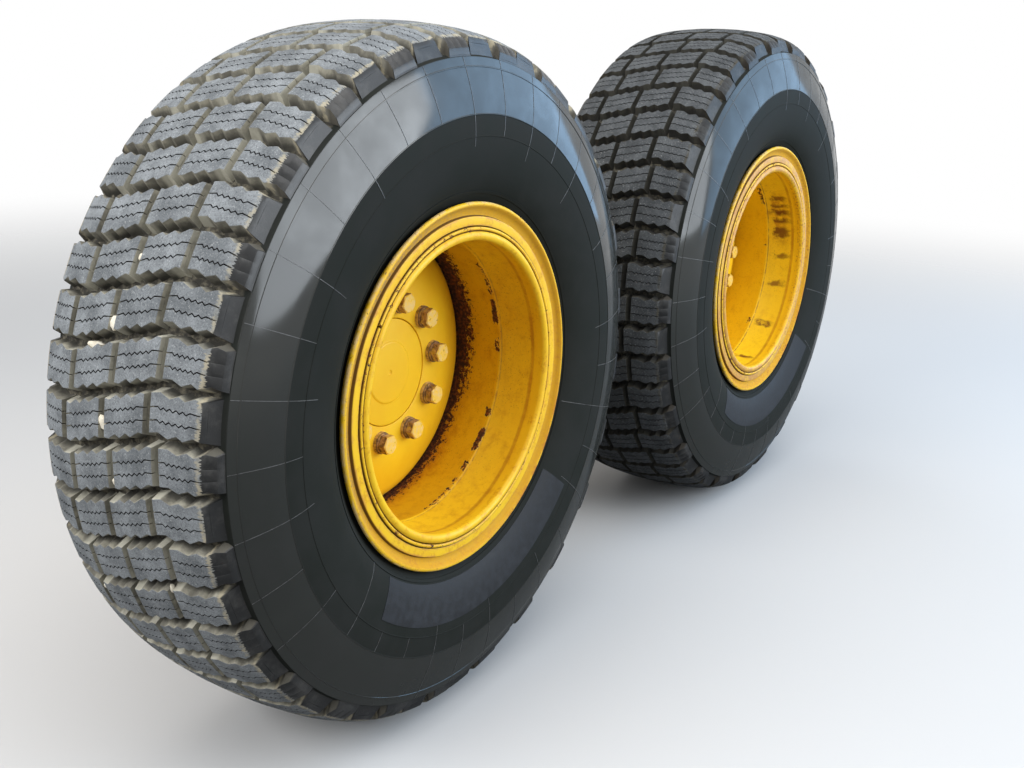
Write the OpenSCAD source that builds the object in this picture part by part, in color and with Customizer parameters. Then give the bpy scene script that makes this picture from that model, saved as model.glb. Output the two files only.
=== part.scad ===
// Left rear tandem of a motor grader: an oil-tight case that rocks on the end of
// the rear axle and carries two driven wheels, one ahead of the other.
// +X points to the rear of the machine, +Y inboard, +Z up. The origin is the centre
// of the bolted flange face, on the axis about which the case rocks.

/* [Layout] */
// Distance between the two wheel axles
axle_spacing = 1520; // [1480:10:1700]
// Height of the rocking axis above the wheel axles
pivot_rise = 50; // [30:5:80]
// Free space between a tyre and the case
tyre_gap = 37; // [30:1:60]

/* [Tyres] */
// Diameter over the tread, at the tips of the lugs
tyre_od = 1352; // [1320:2:1380]
// Width over the sidewalls
tyre_width = 456; // [440:2:464]
// Width of the tread from shoulder to shoulder
tread_width = 392; // [370:2:400]
// Drop of the tread from its middle to its shoulders
crown_drop = 36; // [26:2:44]
// Thickness of the crown, lugs included
crown_t = 54; // [50:1:60]
// Thickness of the sidewalls
sidewall_t = 22; // [18:1:26]
// Number of rows of tread blocks round the tyre
tread_rows = 50; // [44:2:56]
// Depth of the grooves between the blocks
groove_depth = 24; // [16:1:28]
// Width of the grooves across the tread
cross_groove_w = 17; // [12:0.5:20]
// Width of the grooves round the tread
round_groove_w = 9.5; // [7:0.5:12]
// Width of a tread block with its groove
column_w = 97; // [92:1:100]
// How far each row of blocks is shifted to one side or the other
row_shift = 9; // [6:1:12]
// Run of the zigzag of the cross grooves, to each side of their middle
zigzag_run = 25; // [18:1:30]

/* [Rims] */
// Diameter on which the tyre's beads sit
bead_seat_d = 635; // [631:1:639]
// Width of the tyre's beads and of their seats
bead_w = 46; // [42:1:50]
// Distance between the two flanges
rim_inside_w = 355.6; // [350:0.2:362]
// Height of a flange above the bead seat
flange_h = 40.5; // [38:0.5:44]
// Depth of a flange from its bead face to its lip
flange_depth = 28.2; // [24:0.2:32]
// Inside radius of the rim base
rim_bore_r = 289; // [285:1:291]
// Thickness of the rim base
rim_base_t = 14; // [12:0.5:15]

/* [Discs and hubs] */
// Diameter of the circle of wheel studs
stud_pcd = 285.75; // [280:0.25:290]
// Number of wheel studs
stud_count = 10; // [8:2:12]
// Angle of the first stud above the rear direction
stud_phase = 6; // [0:1:35]
// Diameter of the centre hole in a wheel disc
disc_bore_d = 221; // [216:1:224]
// Radius of the flat middle of a wheel disc
disc_flat_r = 188; // [184:1:200]
// Thickness of a wheel disc
disc_t = 18; // [14:1:20]
// How far the flat middle of a disc stands outboard of its rim weld
disc_dish = 40; // [30:1:48]
// How far the flat middle of a disc lies outboard of the tyre's middle plane
disc_offset = 16; // [10:1:24]
// Across flats of a wheel nut
nut_af = 36; // [32:1:38]
// Height of a wheel nut
nut_h = 21; // [18:1:24]
// Diameter of a hub's shaft in its housing
shaft_d = 110; // [100:2:120]

/* [Case] */
// Width of the case over its side plates
case_w = 240; // [220:2:260]
// Distance from the flange face to the case's inboard side plate
case_offset = 210; // [200:2:220]
// Height of the case at its middle, above the rocking axis
case_top = 255; // [250:5:270]
// Depth of the case at its middle, below the rocking axis
case_bottom = 310; // [290:5:320]
// Length of the level stretch at the middle of the case
case_flat = 640; // [560:10:700]
// Radius of the case's rounded ends
case_end_r = 232; // [220:2:240]
// Thickness of the side plates
side_plate_t = 20; // [16:1:24]
// Thickness of the plate that wraps the case
wrap_plate_t = 12; // [10:1:16]
// How far the side plates stand out past the wrap
plate_edge = 8; // [5:1:12]
// Radius of the opening behind the centre cover
cover_hole_r = 150; // [130:2:160]
// Thickness of the bolted covers
cover_t = 14; // [10:1:18]
// Across flats of the bolts
bolt_af = 24; // [19:1:27]

/* [Spindle housings] */
// Radius of the round housing that carries a wheel
housing_r = 195; // [185:1:200]
// Radius of its bolted flange
housing_flange_r = 228; // [224:1:230]
// Thickness of its bolted flange
housing_flange_t = 24; // [20:1:28]

/* [Axle end] */
// Diameter of the trunnion on which the case rocks
trunnion_d = 420; // [400:2:430]
// Wall of the ring that turns on the trunnion
ring_wall = 36; // [30:1:40]
// How far that ring stands out from the case
ring_h = 60; // [50:1:70]
// Diameter of the bolted flange
flange_d = 560; // [550:2:580]
// Thickness of the bolted flange
flange_t = 40; // [34:1:46]
// Distance from the bolted flange's edge to its bolt circle
flange_edge = 30; // [26:1:36]
// Number of flange bolt holes
flange_bolts = 16; // [12:2:20]
// Diameter of a flange bolt hole
flange_hole_d = 26; // [22:1:28]
// Diameter of the bore that takes the axle's spigot
spigot_bore_d = 300; // [280:2:320]
// Depth of the bore that takes the axle's spigot
spigot_depth = 50; // [40:1:60]
// Diameter of the hole that the drive shaft passes through
shaft_hole_d = 90; // [80:1:100]

/* [Hidden] */
$fn = 96;

// Angle of the first cross groove above the rear direction, on the front and rear tyre
front_tread_phase = 4.2;
rear_tread_phase = 6.6;
// Angle of each lock ring's split above the rear direction, on the front and rear wheel
front_split = 146;
rear_split = 93;

// Colours
YELLOW = [0.86, 0.57, 0.05];
RUBBER = [0.06, 0.06, 0.065];
STEEL = [0.55, 0.52, 0.48];
GREY = [0.30, 0.30, 0.31];

// Sides of the tandem along X: the front wheel is at -1, the rear wheel at 1
FRONT = -1;
REAR = 1;

// Clearances
running_gap = 6;
fit_gap = 0.08;

// Levels outboard of the flange face
case_in = case_offset;
case_out = case_offset + case_w;
wheel_offset = case_out + tyre_gap + tyre_width / 2;

// Tyre section
tyre_r = tyre_od / 2;
half_tyre = tyre_width / 2;
half_tread = tread_width / 2;
bead_r = bead_seat_d / 2;
shoulder_r = tyre_r - crown_drop;
widest_r = (tyre_r + bead_r) / 2 - 2;

// Rim section: levels outboard of the wheel's middle plane
lip_r = bead_r + flange_h;
bead_h = rim_inside_w / 2;
lip_h = bead_h + flange_depth;
base_out_r = rim_bore_r + rim_base_t;
gutter_r = 9.5;
gutter_mid_r = rim_bore_r + 5.5;
gutter_h = lip_h - gutter_r;
ring_gap = 1;
lock_in_r = base_out_r + ring_gap;
lock_out_r = bead_r - 6;
lock_gap = 5;

// Disc and hub levels outboard of the wheel's middle plane
disc_back_h = disc_offset - disc_t;
disc_edge_h = disc_offset - disc_dish;
disc_edge_r = rim_bore_r - 7;
pilot_r = disc_bore_d / 2 - 1.5;
hub_flange_r = stud_pcd / 2 + nut_af;
hub_flange_t = 24;
hub_body_r = stud_pcd / 2 - nut_af / 6;
hub_drop = 68;
hub_back_h = disc_back_h - hub_drop;
valve_depth = 90;

// Spindle housing levels outboard of the wheel's middle plane
wall_h = case_out - wheel_offset;
nose_h = hub_back_h - running_gap;
nose_r = hub_body_r + 20;
nose_w = 30;
band_w = 30;
band_step = 12;
band_h = nose_h - nose_w - (housing_r - nose_r) * 0.74;
shaft_r = shaft_d / 2;
shaft_in_h = wall_h + housing_flange_t;

// Nuts and bolts
washer_r = nut_af * 0.66;
washer_t = 7;
bolt_head_h = bolt_af * 0.6;
bolt_edge = bolt_af * 0.8;

// Axle end
flange_pcd = flange_d - 2 * flange_edge;
bolt_room = 13;
neck_r = flange_pcd / 2 - flange_hole_d / 2 - bolt_room;
trunnion_r = trunnion_d / 2;
collar_r = trunnion_r + ring_wall;
collar_h = case_in - ring_h - running_gap;
seal_r = spigot_bore_d / 2 - 16;

// Points of an arc about c, from angle a0 to a1 in n steps
function arc(c, r, a0, a1, n) =
    [for (i = [0:n]) c + r * [cos(a0 + (a1 - a0) * i / n), sin(a0 + (a1 - a0) * i / n)]];

// Mirrors the points of a section to the inboard side, in reverse order
function inboard(points) = [for (i = [len(points) - 1:-1:0]) [points[i][0], -points[i][1]]];

// Whole section from the half of it that starts and ends on the middle plane
function both_sides(half) = concat(half, [for (p = inboard(half)) if (p[1] < 0) p]);

// Angle of the tangent from the point p to the circle about c, on the side s
function tangent_angle(p, c, r, s) =
    let (d = p - c) atan2(d[1], d[0]) + s * acos(r / norm(d));

// Turns the drawing so that its Z points outboard and its Y up
module outboard() {
    rotate([90, 0, 0]) children();
}

// Moves the drawing to a wheel's axle, at the flange face, on the side s of the tandem
module at_axle(s) {
    outboard() translate([s * axle_spacing / 2, -pivot_rise, 0]) children();
}

// Moves the drawing to a wheel's centre, on the side s of the tandem
module at_wheel(s) {
    at_axle(s) translate([0, 0, wheel_offset]) children();
}

// Ring with a section given as [radius, level] points
module ring(points) {
    rotate_extrude($fn = 180) polygon(points);
}

// Round plate or bar between two levels
module disc(r, low, high) {
    translate([0, 0, low]) cylinder(r = r, h = high - low);
}

// Hexagon head or nut between two levels
module hexagon(af, low, high) {
    translate([0, 0, low]) cylinder(d = af / cos(30), h = high - low, $fn = 6);
}

// Circle of count copies at the radius r
module around(count, r, phase = 0) {
    for (i = [0:count - 1]) rotate([0, 0, phase + i * 360 / count]) translate([r, 0, 0]) children();
}

// Circle of bolt heads that stand on the level low, or hang under it with side = -1
module bolt_heads(count, r, low, phase = 0, side = 1) {
    around(count, r, phase) {
        if (side > 0) hexagon(bolt_af, low - 1, low + bolt_head_h);
        else hexagon(bolt_af, low - bolt_head_h, low + 1);
    }
}

// Circle of thin ribs whose shape is given as [radius, level] points
module ribs(count, thickness, points, phase = 0) {
    for (i = [0:count - 1])
        rotate([0, 0, phase + i * 360 / count]) rotate([90, 0, 0])
            translate([0, 0, -thickness / 2]) linear_extrude(thickness) polygon(points);
}

// Axle end

module final_drive_housing() {
    end_h = case_in + side_plate_t + 70;
    outline = [
        [0, end_h - 20], [0, end_h], [trunnion_r - fit_gap, end_h],
        [trunnion_r - fit_gap, collar_h], [collar_r, collar_h],
        [collar_r, collar_h - 22], [neck_r, collar_h - 40],
        [neck_r, flange_t + 22], [neck_r + 12, flange_t],
        [flange_d / 2, flange_t], [flange_d / 2, 0],
        [spigot_bore_d / 2, 0], [spigot_bore_d / 2, spigot_depth],
        [seal_r, spigot_depth], [seal_r, end_h - 20]
    ];
    color(YELLOW) outboard() difference() {
        union() {
            ring(outline);
            ribs(flange_bolts / 2, 14, [
                [neck_r - 8, flange_t - 1], [flange_d / 2 - 12, flange_t - 1],
                [collar_r - 4, collar_h - 20], [neck_r - 8, collar_h - 20]
            ], 180 / flange_bolts);
        }
        around(flange_bolts, flange_pcd / 2) disc(flange_hole_d / 2, -1, flange_t + 1);
    }
}

module seal_plate() {
    low = spigot_depth + 2;
    color(GREY) outboard() difference() {
        union() {
            disc(seal_r - fit_gap, low, low + 14);
            disc(shaft_hole_d / 2 + 25, low, low + 28);
        }
        disc(shaft_hole_d / 2, low - 1, low + 29);
    }
}

// Case

// Side view of the case: two level edges and round ends about the wheel axles
function case_outline(inset) =
    let (
        r = case_end_r - inset,
        c = [axle_spacing / 2, -pivot_rise],
        top = [case_flat / 2, case_top - inset],
        bottom = [case_flat / 2, -case_bottom + inset],
        a0 = tangent_angle(bottom, c, r, 1),
        a1 = tangent_angle(top, c, r, -1),
        rear = concat([bottom], arc(c, r, a0, a1, 16), [top])
    )
    concat(rear, [for (i = [len(rear) - 1:-1:0]) [-rear[i][0], rear[i][1]]]);

module case_slab(inset, low, high) {
    translate([0, 0, low]) linear_extrude(high - low) polygon(case_outline(inset));
}

module case_shell() {
    color(YELLOW) {
        outboard() difference() {
            union() {
                case_slab(0, case_in, case_in + side_plate_t);
                case_slab(0, case_out - side_plate_t, case_out);
                case_slab(plate_edge, case_in + 1, case_out - 1);
            }
            case_slab(plate_edge + wrap_plate_t, case_in + side_plate_t, case_out - side_plate_t);
            disc(trunnion_r, case_in - 1, case_in + side_plate_t + 1);
            disc(cover_hole_r, case_out - side_plate_t - 1, case_out + 1);
            for (s = [FRONT, REAR]) translate([s * axle_spacing / 2, -pivot_rise, 0]) {
                disc(hub_body_r - 12, case_out - side_plate_t - 1, case_out + 1);
                disc(cover_hole_r * 0.6, case_in - 1, case_in + side_plate_t + 1);
            }
        }
    }
}

module pivot_ring() {
    low = case_in - ring_h;
    color(YELLOW) outboard() ring([
        [trunnion_r, case_in], [collar_r, case_in], [collar_r, low + 22],
        [collar_r - 10, low], [trunnion_r, low]
    ]);
}

module centre_cover() {
    color(YELLOW) outboard() {
        disc(cover_hole_r + 2 * bolt_edge, case_out, case_out + cover_t);
        disc(cover_hole_r * 0.55, case_out + cover_t - 1, case_out + cover_t * 1.8);
        bolt_heads(12, cover_hole_r + bolt_edge, case_out + cover_t);
    }
}

// Round housing that carries a wheel's shaft out from the case
module spindle_housing(s) {
    flange_top = wall_h + housing_flange_t;
    bore_r = shaft_r + fit_gap;
    band_foot_h = band_h - band_w;
    waist_r = housing_r - band_step;
    outline = [
        [bore_r, wall_h], [housing_flange_r, wall_h], [housing_flange_r, flange_top],
        [waist_r, flange_top], [waist_r, band_foot_h - band_step * 0.7],
        [housing_r, band_foot_h], [housing_r, band_h], [housing_r - 8, band_h + 10],
        [nose_r, nose_h - nose_w], [nose_r, nose_h], [bore_r, nose_h]
    ];
    color(YELLOW) at_wheel(s) {
        ring(outline);
        bolt_heads(12, housing_flange_r - bolt_edge * 0.7, flange_top, 15);
        ribs(6, 14, [
            [waist_r - 8, flange_top - 1], [housing_flange_r - 4, flange_top - 1],
            [housing_r - 2, band_foot_h - 2], [waist_r - 8, band_foot_h - 2]
        ]);
    }
}

// Round cover on the inboard side plate, opposite a wheel
module inner_cap(s) {
    hole_r = cover_hole_r * 0.6;
    color(YELLOW) at_axle(s) {
        disc(hole_r + 2 * bolt_edge, case_in - cover_t, case_in);
        disc(hole_r * 0.65, case_in - cover_t * 1.8, case_in - cover_t + 1);
        bolt_heads(8, hole_r + bolt_edge, case_in - cover_t, 22.5, -1);
    }
}

// Rectangular cover on the level top of the case
module top_cover(s) {
    length = case_flat * 0.42;
    width = case_w - 2 * side_plate_t - 28;
    edge = bolt_edge;
    color(YELLOW)
        translate([s * case_flat / 4, -(case_in + case_out) / 2, case_top - plate_edge]) {
            translate([-length / 2, -width / 2, 0]) cube([length, width, cover_t * 0.7]);
            for (i = [-1:1], j = [-1, 1])
                translate([i * (length / 2 - edge), j * (width / 2 - edge), cover_t * 0.7 - 1])
                    hexagon(bolt_af * 0.8, 0, bolt_head_h * 0.8);
        }
}

module filler_plug() {
    r = bolt_af;
    color(STEEL) outboard() translate([cover_hole_r + 4 * r, case_top - 4 * r, 0]) {
        disc(r, case_out, case_out + 8);
        hexagon(bolt_af, case_out + 7, case_out + 20);
    }
}

module breather() {
    color(GREY) translate([0, -(case_in + case_out) / 2, case_top - plate_edge]) {
        disc(9, 0, 26);
        disc(19, 25, 40);
    }
}

module drain_plugs() {
    color(STEEL) for (s = [FRONT, REAR])
        translate([s * case_flat / 3, -(case_in + case_out) / 2, -case_bottom + plate_edge])
            rotate([180, 0, 0]) {
                disc(bolt_af, 0, 12);
                hexagon(bolt_af, 11, 24);
            }
}

// Wheels

// Rounded crown from shoulder to middle, as [radius, level] points that end at the radius r
function crown(r) = [
    for (p = [[1, 1], [0.58, 0.87], [0.3, 0.7], [0.13, 0.48], [0, 0]])
        [r - crown_drop * p[0], half_tread * p[1]]
];

// Half of a tyre's section, from the inside of the crown round the bead to the tread
function tyre_half() =
    let (inside_r = tyre_r - crown_t, side_h = half_tyre - sidewall_t)
    concat(
        [
            [inside_r, 0], [inside_r - crown_drop * 0.42, half_tread * 0.68],
            [inside_r - crown_drop - 12, half_tread - 14],
            [widest_r + 40, side_h - 2], [widest_r - 20, side_h], [lip_r + 24, lip_h - sidewall_t - 6],
            [bead_r + 20, bead_h - bead_w + 6], [bead_r, bead_h - bead_w],
            [bead_r, bead_h], [bead_r + flange_h * 0.5, bead_h],
            [lip_r - 2, bead_h + flange_depth * 0.36], [lip_r + 12, lip_h - 8]
        ],
        [[lip_r + 50, lip_h + 10], [widest_r, half_tyre], [widest_r + 38, half_tyre - 4]],
        [[shoulder_r - 48, half_tread + 12]],
        crown(tyre_r)
    );

// Band round the tread that the grooves may reach, down to their floors
module groove_band() {
    clear = half_tyre + 20;
    ring(both_sides(concat(
        [[tyre_r + 20, 0], [tyre_r + 20, clear], [shoulder_r - 44, clear]],
        [[shoulder_r - groove_depth - 2, half_tread]],
        [for (p = crown(tyre_r - groove_depth)) if (p[1] < half_tread * 0.9) p]
    )));
}

// Grooves of one row of blocks, drawn flat with X inboard and Y round the tyre: the
// zigzag one across the tread, and its three links to the next row, shifted to one side
module row_grooves(shift) {
    pitch = PI * tyre_od / tread_rows;
    half = [0, cross_groove_w / 2];
    line = [
        [-half_tyre - 10, -zigzag_run * 0.85], [-column_w, -zigzag_run],
        [column_w, zigzag_run], [half_tyre + 10, zigzag_run * 0.85]
    ];
    polygon(concat([for (p = line) p - half], [for (i = [len(line) - 1:-1:0]) line[i] + half]));
    for (i = [-1:1]) {
        x = i * column_w + shift;
        y = zigzag_run * max(-1, min(1, x / column_w));
        translate([x - round_groove_w / 2, y]) square([round_groove_w, pitch]);
    }
}

module tread_grooves(phase) {
    for (i = [0:tread_rows - 1])
        rotate([0, 0, phase + i * 360 / tread_rows]) rotate([0, 90, 0])
            translate([0, 0, shoulder_r - 60]) linear_extrude(crown_drop + 80)
                row_grooves(i % 2 == 0 ? -row_shift : row_shift);
}

module tyre(s) {
    color(RUBBER) at_wheel(s) difference() {
        ring(both_sides(tyre_half()));
        intersection() {
            tread_grooves(s == FRONT ? front_tread_phase : rear_tread_phase);
            groove_band();
        }
    }
}

// Section of a flange from its foot up its bead face, round the lip and down its hollow
// back to the step of the band at its foot
function flange_section(foot_r) =
    let (curl = flange_depth * 0.18)
    concat(
        [[foot_r, bead_h], [bead_r + flange_h * 0.42, bead_h + 1]],
        [[bead_r + flange_h * 0.76, bead_h + flange_depth * 0.34]],
        arc([lip_r - curl, lip_h - curl], curl, -30, 120, 5),
        [[bead_r + flange_h * 0.64, lip_h - flange_depth * 0.34]],
        [[bead_r + flange_h * 0.42, lip_h - flange_depth * 0.43]],
        [[bead_r + flange_h * 0.35, lip_h - flange_depth * 0.44]],
        [[bead_r + flange_h * 0.31, lip_h - flange_depth * 0.2]]
    );

module rim_base(s) {
    outline = concat(
        arc([gutter_mid_r, gutter_h], gutter_r, 0, 180, 10),
        [[rim_bore_r - 3, gutter_h - 12], [rim_bore_r, gutter_h - 24]],
        [[rim_bore_r, -lip_h + 12], [rim_bore_r + 6, -lip_h + 4]],
        inboard(flange_section(bead_r)),
        [[bead_r, -bead_h + bead_w + 4], [base_out_r, -bead_h + bead_w + 16]],
        [[base_out_r, bead_h - bead_w - 14], [bead_r, bead_h - bead_w - 4]],
        [[bead_r, bead_h - ring_gap], [base_out_r, bead_h - ring_gap]]
    );
    color(YELLOW) at_wheel(s) ring(outline);
}

module side_flange(s) {
    foot_r = lock_out_r + ring_gap;
    color(YELLOW) at_wheel(s)
        ring(concat(flange_section(foot_r), [[foot_r, lip_h - flange_depth * 0.22]]));
}

module lock_ring(s) {
    mid_r = (lock_in_r + lock_out_r) / 2;
    half = (lock_out_r - lock_in_r) / 2;
    split = s == FRONT ? front_split : rear_split;
    color(YELLOW) at_wheel(s) difference() {
        ring(concat(
            [[lock_in_r, bead_h - ring_gap], [lock_out_r, bead_h - ring_gap]],
            arc([mid_r, lip_h - half - 2], half, 0, 180, 6)
        ));
        rotate([0, 0, split]) translate([lock_in_r - 5, -lock_gap / 2, bead_h - 10])
            cube([2 * half + 10, lock_gap, flange_depth + 20]);
    }
}

module wheel_disc(s) {
    color(YELLOW) at_wheel(s) ring([
        [disc_bore_d / 2, disc_offset], [disc_bore_d / 2, disc_back_h],
        [disc_flat_r - 2, disc_back_h], [disc_edge_r - 14, disc_edge_h - disc_t + 10],
        [rim_bore_r, disc_edge_h - disc_t - 12], [rim_bore_r, disc_edge_h - 12],
        [disc_edge_r, disc_edge_h], [disc_edge_r - 16, disc_edge_h + 14], [disc_flat_r, disc_offset]
    ]);
}

module hub(s) {
    face_h = disc_offset - 1;
    cap_r = disc_bore_d * 0.29;
    color(YELLOW) at_wheel(s) ring([
        [0, face_h + 4], [cap_r - 4, face_h + 4], [cap_r, face_h], [pilot_r, face_h],
        [pilot_r, disc_back_h], [hub_flange_r, disc_back_h],
        [hub_flange_r, disc_back_h - hub_flange_t], [hub_body_r, disc_back_h - hub_flange_t],
        [hub_body_r - 8, hub_back_h], [shaft_r, hub_back_h], [shaft_r, shaft_in_h], [0, shaft_in_h]
    ]);
}

module wheel_nuts(s) {
    color(STEEL) at_wheel(s) around(stud_count, stud_pcd / 2, stud_phase) {
        disc(washer_r, disc_offset, disc_offset + washer_t);
        disc(washer_r * 0.9, disc_offset + washer_t - 1, disc_offset + washer_t * 1.6);
        hexagon(nut_af, disc_offset + washer_t - 1, disc_offset + washer_t + nut_h);
    }
}

// Bent air valve that comes out of the rim base inside the dish
module valve(s) {
    stem_r = rim_bore_r - 22;
    level = lip_h - valve_depth;
    color(STEEL) at_wheel(s) rotate([0, 0, 180]) translate([stem_r, 0, level]) {
        rotate([0, 90, 0]) disc(9, 0, 22);
        disc(7, -9, 53);
    }
}

final_drive_housing();
seal_plate();
case_shell();
pivot_ring();
centre_cover();
spindle_housing(FRONT);  // front_spindle_housing
spindle_housing(REAR);  // rear_spindle_housing
inner_cap(FRONT);  // front_inner_cap
inner_cap(REAR);  // rear_inner_cap
top_cover(FRONT);  // front_top_cover
top_cover(REAR);  // rear_top_cover
filler_plug();
breather();
drain_plugs();
tyre(FRONT);  // front_tyre
rim_base(FRONT);  // front_rim_base
side_flange(FRONT);  // front_side_flange
lock_ring(FRONT);  // front_lock_ring
wheel_disc(FRONT);  // front_wheel_disc
hub(FRONT);  // front_hub
wheel_nuts(FRONT);  // front_wheel_nuts
valve(FRONT);  // front_valve
tyre(REAR);  // rear_tyre
rim_base(REAR);  // rear_rim_base
side_flange(REAR);  // rear_side_flange
lock_ring(REAR);  // rear_lock_ring
wheel_disc(REAR);  // rear_wheel_disc
hub(REAR);  // rear_hub
wheel_nuts(REAR);  // rear_wheel_nuts
valve(REAR);  // rear_valve
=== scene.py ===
"""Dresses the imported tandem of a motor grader: two winter tyres on yellow rims, the
tandem case that carries them and the axle end on which the case rocks.

The frame is in metres: +X points to the rear of the machine, +Y inboard, +Z up. The pieces
of a wheel are modelled in millimetres about its axle, where a level is measured outboard
from the wheel's middle plane. The finishes measure in metres."""

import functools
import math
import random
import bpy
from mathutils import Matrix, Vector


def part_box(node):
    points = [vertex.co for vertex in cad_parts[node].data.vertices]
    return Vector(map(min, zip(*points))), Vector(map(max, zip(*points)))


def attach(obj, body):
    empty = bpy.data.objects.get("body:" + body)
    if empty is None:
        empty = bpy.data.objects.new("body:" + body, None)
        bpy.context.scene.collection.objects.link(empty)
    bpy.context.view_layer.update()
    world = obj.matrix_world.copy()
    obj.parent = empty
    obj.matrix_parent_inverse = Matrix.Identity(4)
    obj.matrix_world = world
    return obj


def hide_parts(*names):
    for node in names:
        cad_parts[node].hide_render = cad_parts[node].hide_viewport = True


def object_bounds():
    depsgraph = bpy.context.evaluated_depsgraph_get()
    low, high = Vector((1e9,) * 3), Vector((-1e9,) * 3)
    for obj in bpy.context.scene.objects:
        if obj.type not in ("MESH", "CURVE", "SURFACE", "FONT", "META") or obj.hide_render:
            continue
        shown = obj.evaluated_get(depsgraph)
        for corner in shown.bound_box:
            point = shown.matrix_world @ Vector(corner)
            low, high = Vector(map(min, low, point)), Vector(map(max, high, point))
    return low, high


bl_info = {
    "name": "Grader tandem with two wheels",
    "version": (1, 0, 0),
    "blender": (4, 5, 0),
    "location": "3D View > Sidebar > Tandem",
    "description": "Tyres, rims, case and axle end of a grader's tandem on a plain stage",
    "category": "Object",
}

import bmesh
import bpy
from bpy.props import FloatProperty, FloatVectorProperty, IntProperty, PointerProperty
from mathutils import Matrix, Vector, noise

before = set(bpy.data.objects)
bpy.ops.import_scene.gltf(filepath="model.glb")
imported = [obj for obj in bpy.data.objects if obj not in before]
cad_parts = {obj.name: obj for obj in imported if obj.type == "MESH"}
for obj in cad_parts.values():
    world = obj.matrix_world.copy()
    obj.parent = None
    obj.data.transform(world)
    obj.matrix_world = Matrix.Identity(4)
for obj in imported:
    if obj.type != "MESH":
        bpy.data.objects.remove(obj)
CAD_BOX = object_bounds()

MM = 0.001
TURN = 2 * math.pi
SIDES = ("front", "rear")
AXLE = (0.0, -1.0, 0.0)
TINY = 1e-6
MERGE = 1e-5
FLAT_ANGLE = math.radians(0.8)
SHARP_ANGLE = math.radians(38)

# Tyre: crown as (distance from the middle plane, radius), outer wall as (radius, level)
CROWN = ((0, 676), (48, 675), (94, 671.3), (120, 668.2), (137, 665.2), (155, 660.8),
         (170.5, 655.1), (185, 647.5), (196, 640), (208, 592))
WALL = ((370, 198), (382, 205.8), (395, 212), (408, 216.3), (425, 220.4), (450, 224.9),
        (475, 227), (495, 227.4), (515, 226.2), (533, 223.8), (548, 220.6), (562, 217),
        (578, 212.4), (592, 208), (606, 203.4), (617, 199.3))
CARCASS_STEPS = 300

# Tread: a row has four columns of blocks and is shifted the other way from the row before.
# The outer blocks end by turns at the long and the short end, and their feet spread further.
# GROOVE_RUN is the S-shaped run of the cross grooves as (distance from the middle plane, run),
# and the teeth of a block's edge are (share of its width, step).
TREAD_MARKS = ("groove_depth", "sipe", "outer")
TREAD_PHASE = {"front": math.radians(4.2), "rear": math.radians(6.6)}
GROOVE_RUN = ((-238, -21.3), (-97, -25), (97, 25), (238, 21.3))
COLUMN = 97
COLUMN_SHIFT = 3
ROW_SHIFT = 9
WORN_END = 177.0
SHOULDER_DROP = ((WORN_END, 0), (186, 3.2), (195.5, 8.5))
LONG_END, LONG_FOOT = 195.5, 203
SHORT_END, SHORT_FOOT = 179, 191
BEND_CUTS = (24, 50, 76, 118, 137, 155, 170, WORN_END, 186)
BLOCK_TEETH = ((0, 0), (0.1, -2.9), (0.3, 3.7), (0.42, -3), (0.58, 3.7), (0.7, -3),
               (0.88, 3), (1, 0))
SHOULDER_TEETH = ((0, 0), (0.12, -4.4), (0.3, 3), (0.42, -3.2), (0.6, 3.5), (0.8, -3.8),
                  (1, -1.5))
BLOCK_SINK = 0.6
BLOCK_EDGE = 0.6

# How far the walls of a block lean out per millimetre of depth, more so near the shoulders,
# and the fine cuts in its top
LEAN, SHOULDER_LEAN, GROOVE_LEAN = 0.27, 0.12, 0.17
LEAN_FROM, LEAN_OVER = 165, 30
SIPE_TOP = 7.0
SIPE_ZIGS = 10
SIPE_FIRST, SIPE_SPAN = 0.17, 0.66

# Walls: ridges as {radius: (width, height)}, mould lines from an outer to an inner radius, and
# the bare panel, whose place and spread are in degrees
RIDGES = {375.5: (5.0, 1.6), 479: (1.2, 0.8), 518: (1.4, 0.9), 600: (1.4, 1.0)}
BAND_TOP = 616
MOULD_LINES = 33
MOULD_PHASE = math.radians(113.6)
MOULD_WIDTH, MOULD_RISE, MOULD_SINK, MOULD_STEP = 1.6, 0.6, 0.9, 14
MOULD_ENDS = (518, 479, 518, 440, 480, 450, 480, 462)
PANEL_LINES, PANEL_LINE_ENDS = (10, 11, 12), (518, 479)
LONG_LINES, LONG_LINE_ENDS = (10, 21), (479, 378)
PANEL_AT, PANEL_SPREAD = 275.5, 88
PANEL_R, PANEL_WIDTH = 421, 78
PANEL_SINK, PANEL_RISE = 0.4, 0.9

# Stones in the front tread, as (distance inboard, angle in degrees, width, length, height)
STONES = ((11, 161.0, 7, 12, 5), (46, 164.4, 20, 7, 7), (14, 174.3, 8.5, 12, 6),
          (-10, 182.2, 3, 6.5, 4), (110, 183.2, 4, 6, 4), (-10, 151.8, 4.5, 6.5, 4),
          (-88, 197.4, 4, 9, 4), (108, 203.0, 5, 5, 4))

# Rim and nuts; the seed sets the waves of the worked steel, the same in every run
WAVES_SEED = 15
LIP, LIP_R, CURL = 206.0, 358, 5.1
BEAD_R = 317.5
BORE_R = 289.0
RING_R, RING_GAP = 307.8, 5
SPLIT = {"front": math.radians(146), "rear": math.radians(93)}
DISC_FACE = 16
NUTS, STUD_R, FIRST_NUT = 10, 142.875, 6
NUT_FLATS, NUT_HEIGHT, NUT_CHAMFER, WASHER = 36, 21, 2, 7

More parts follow.
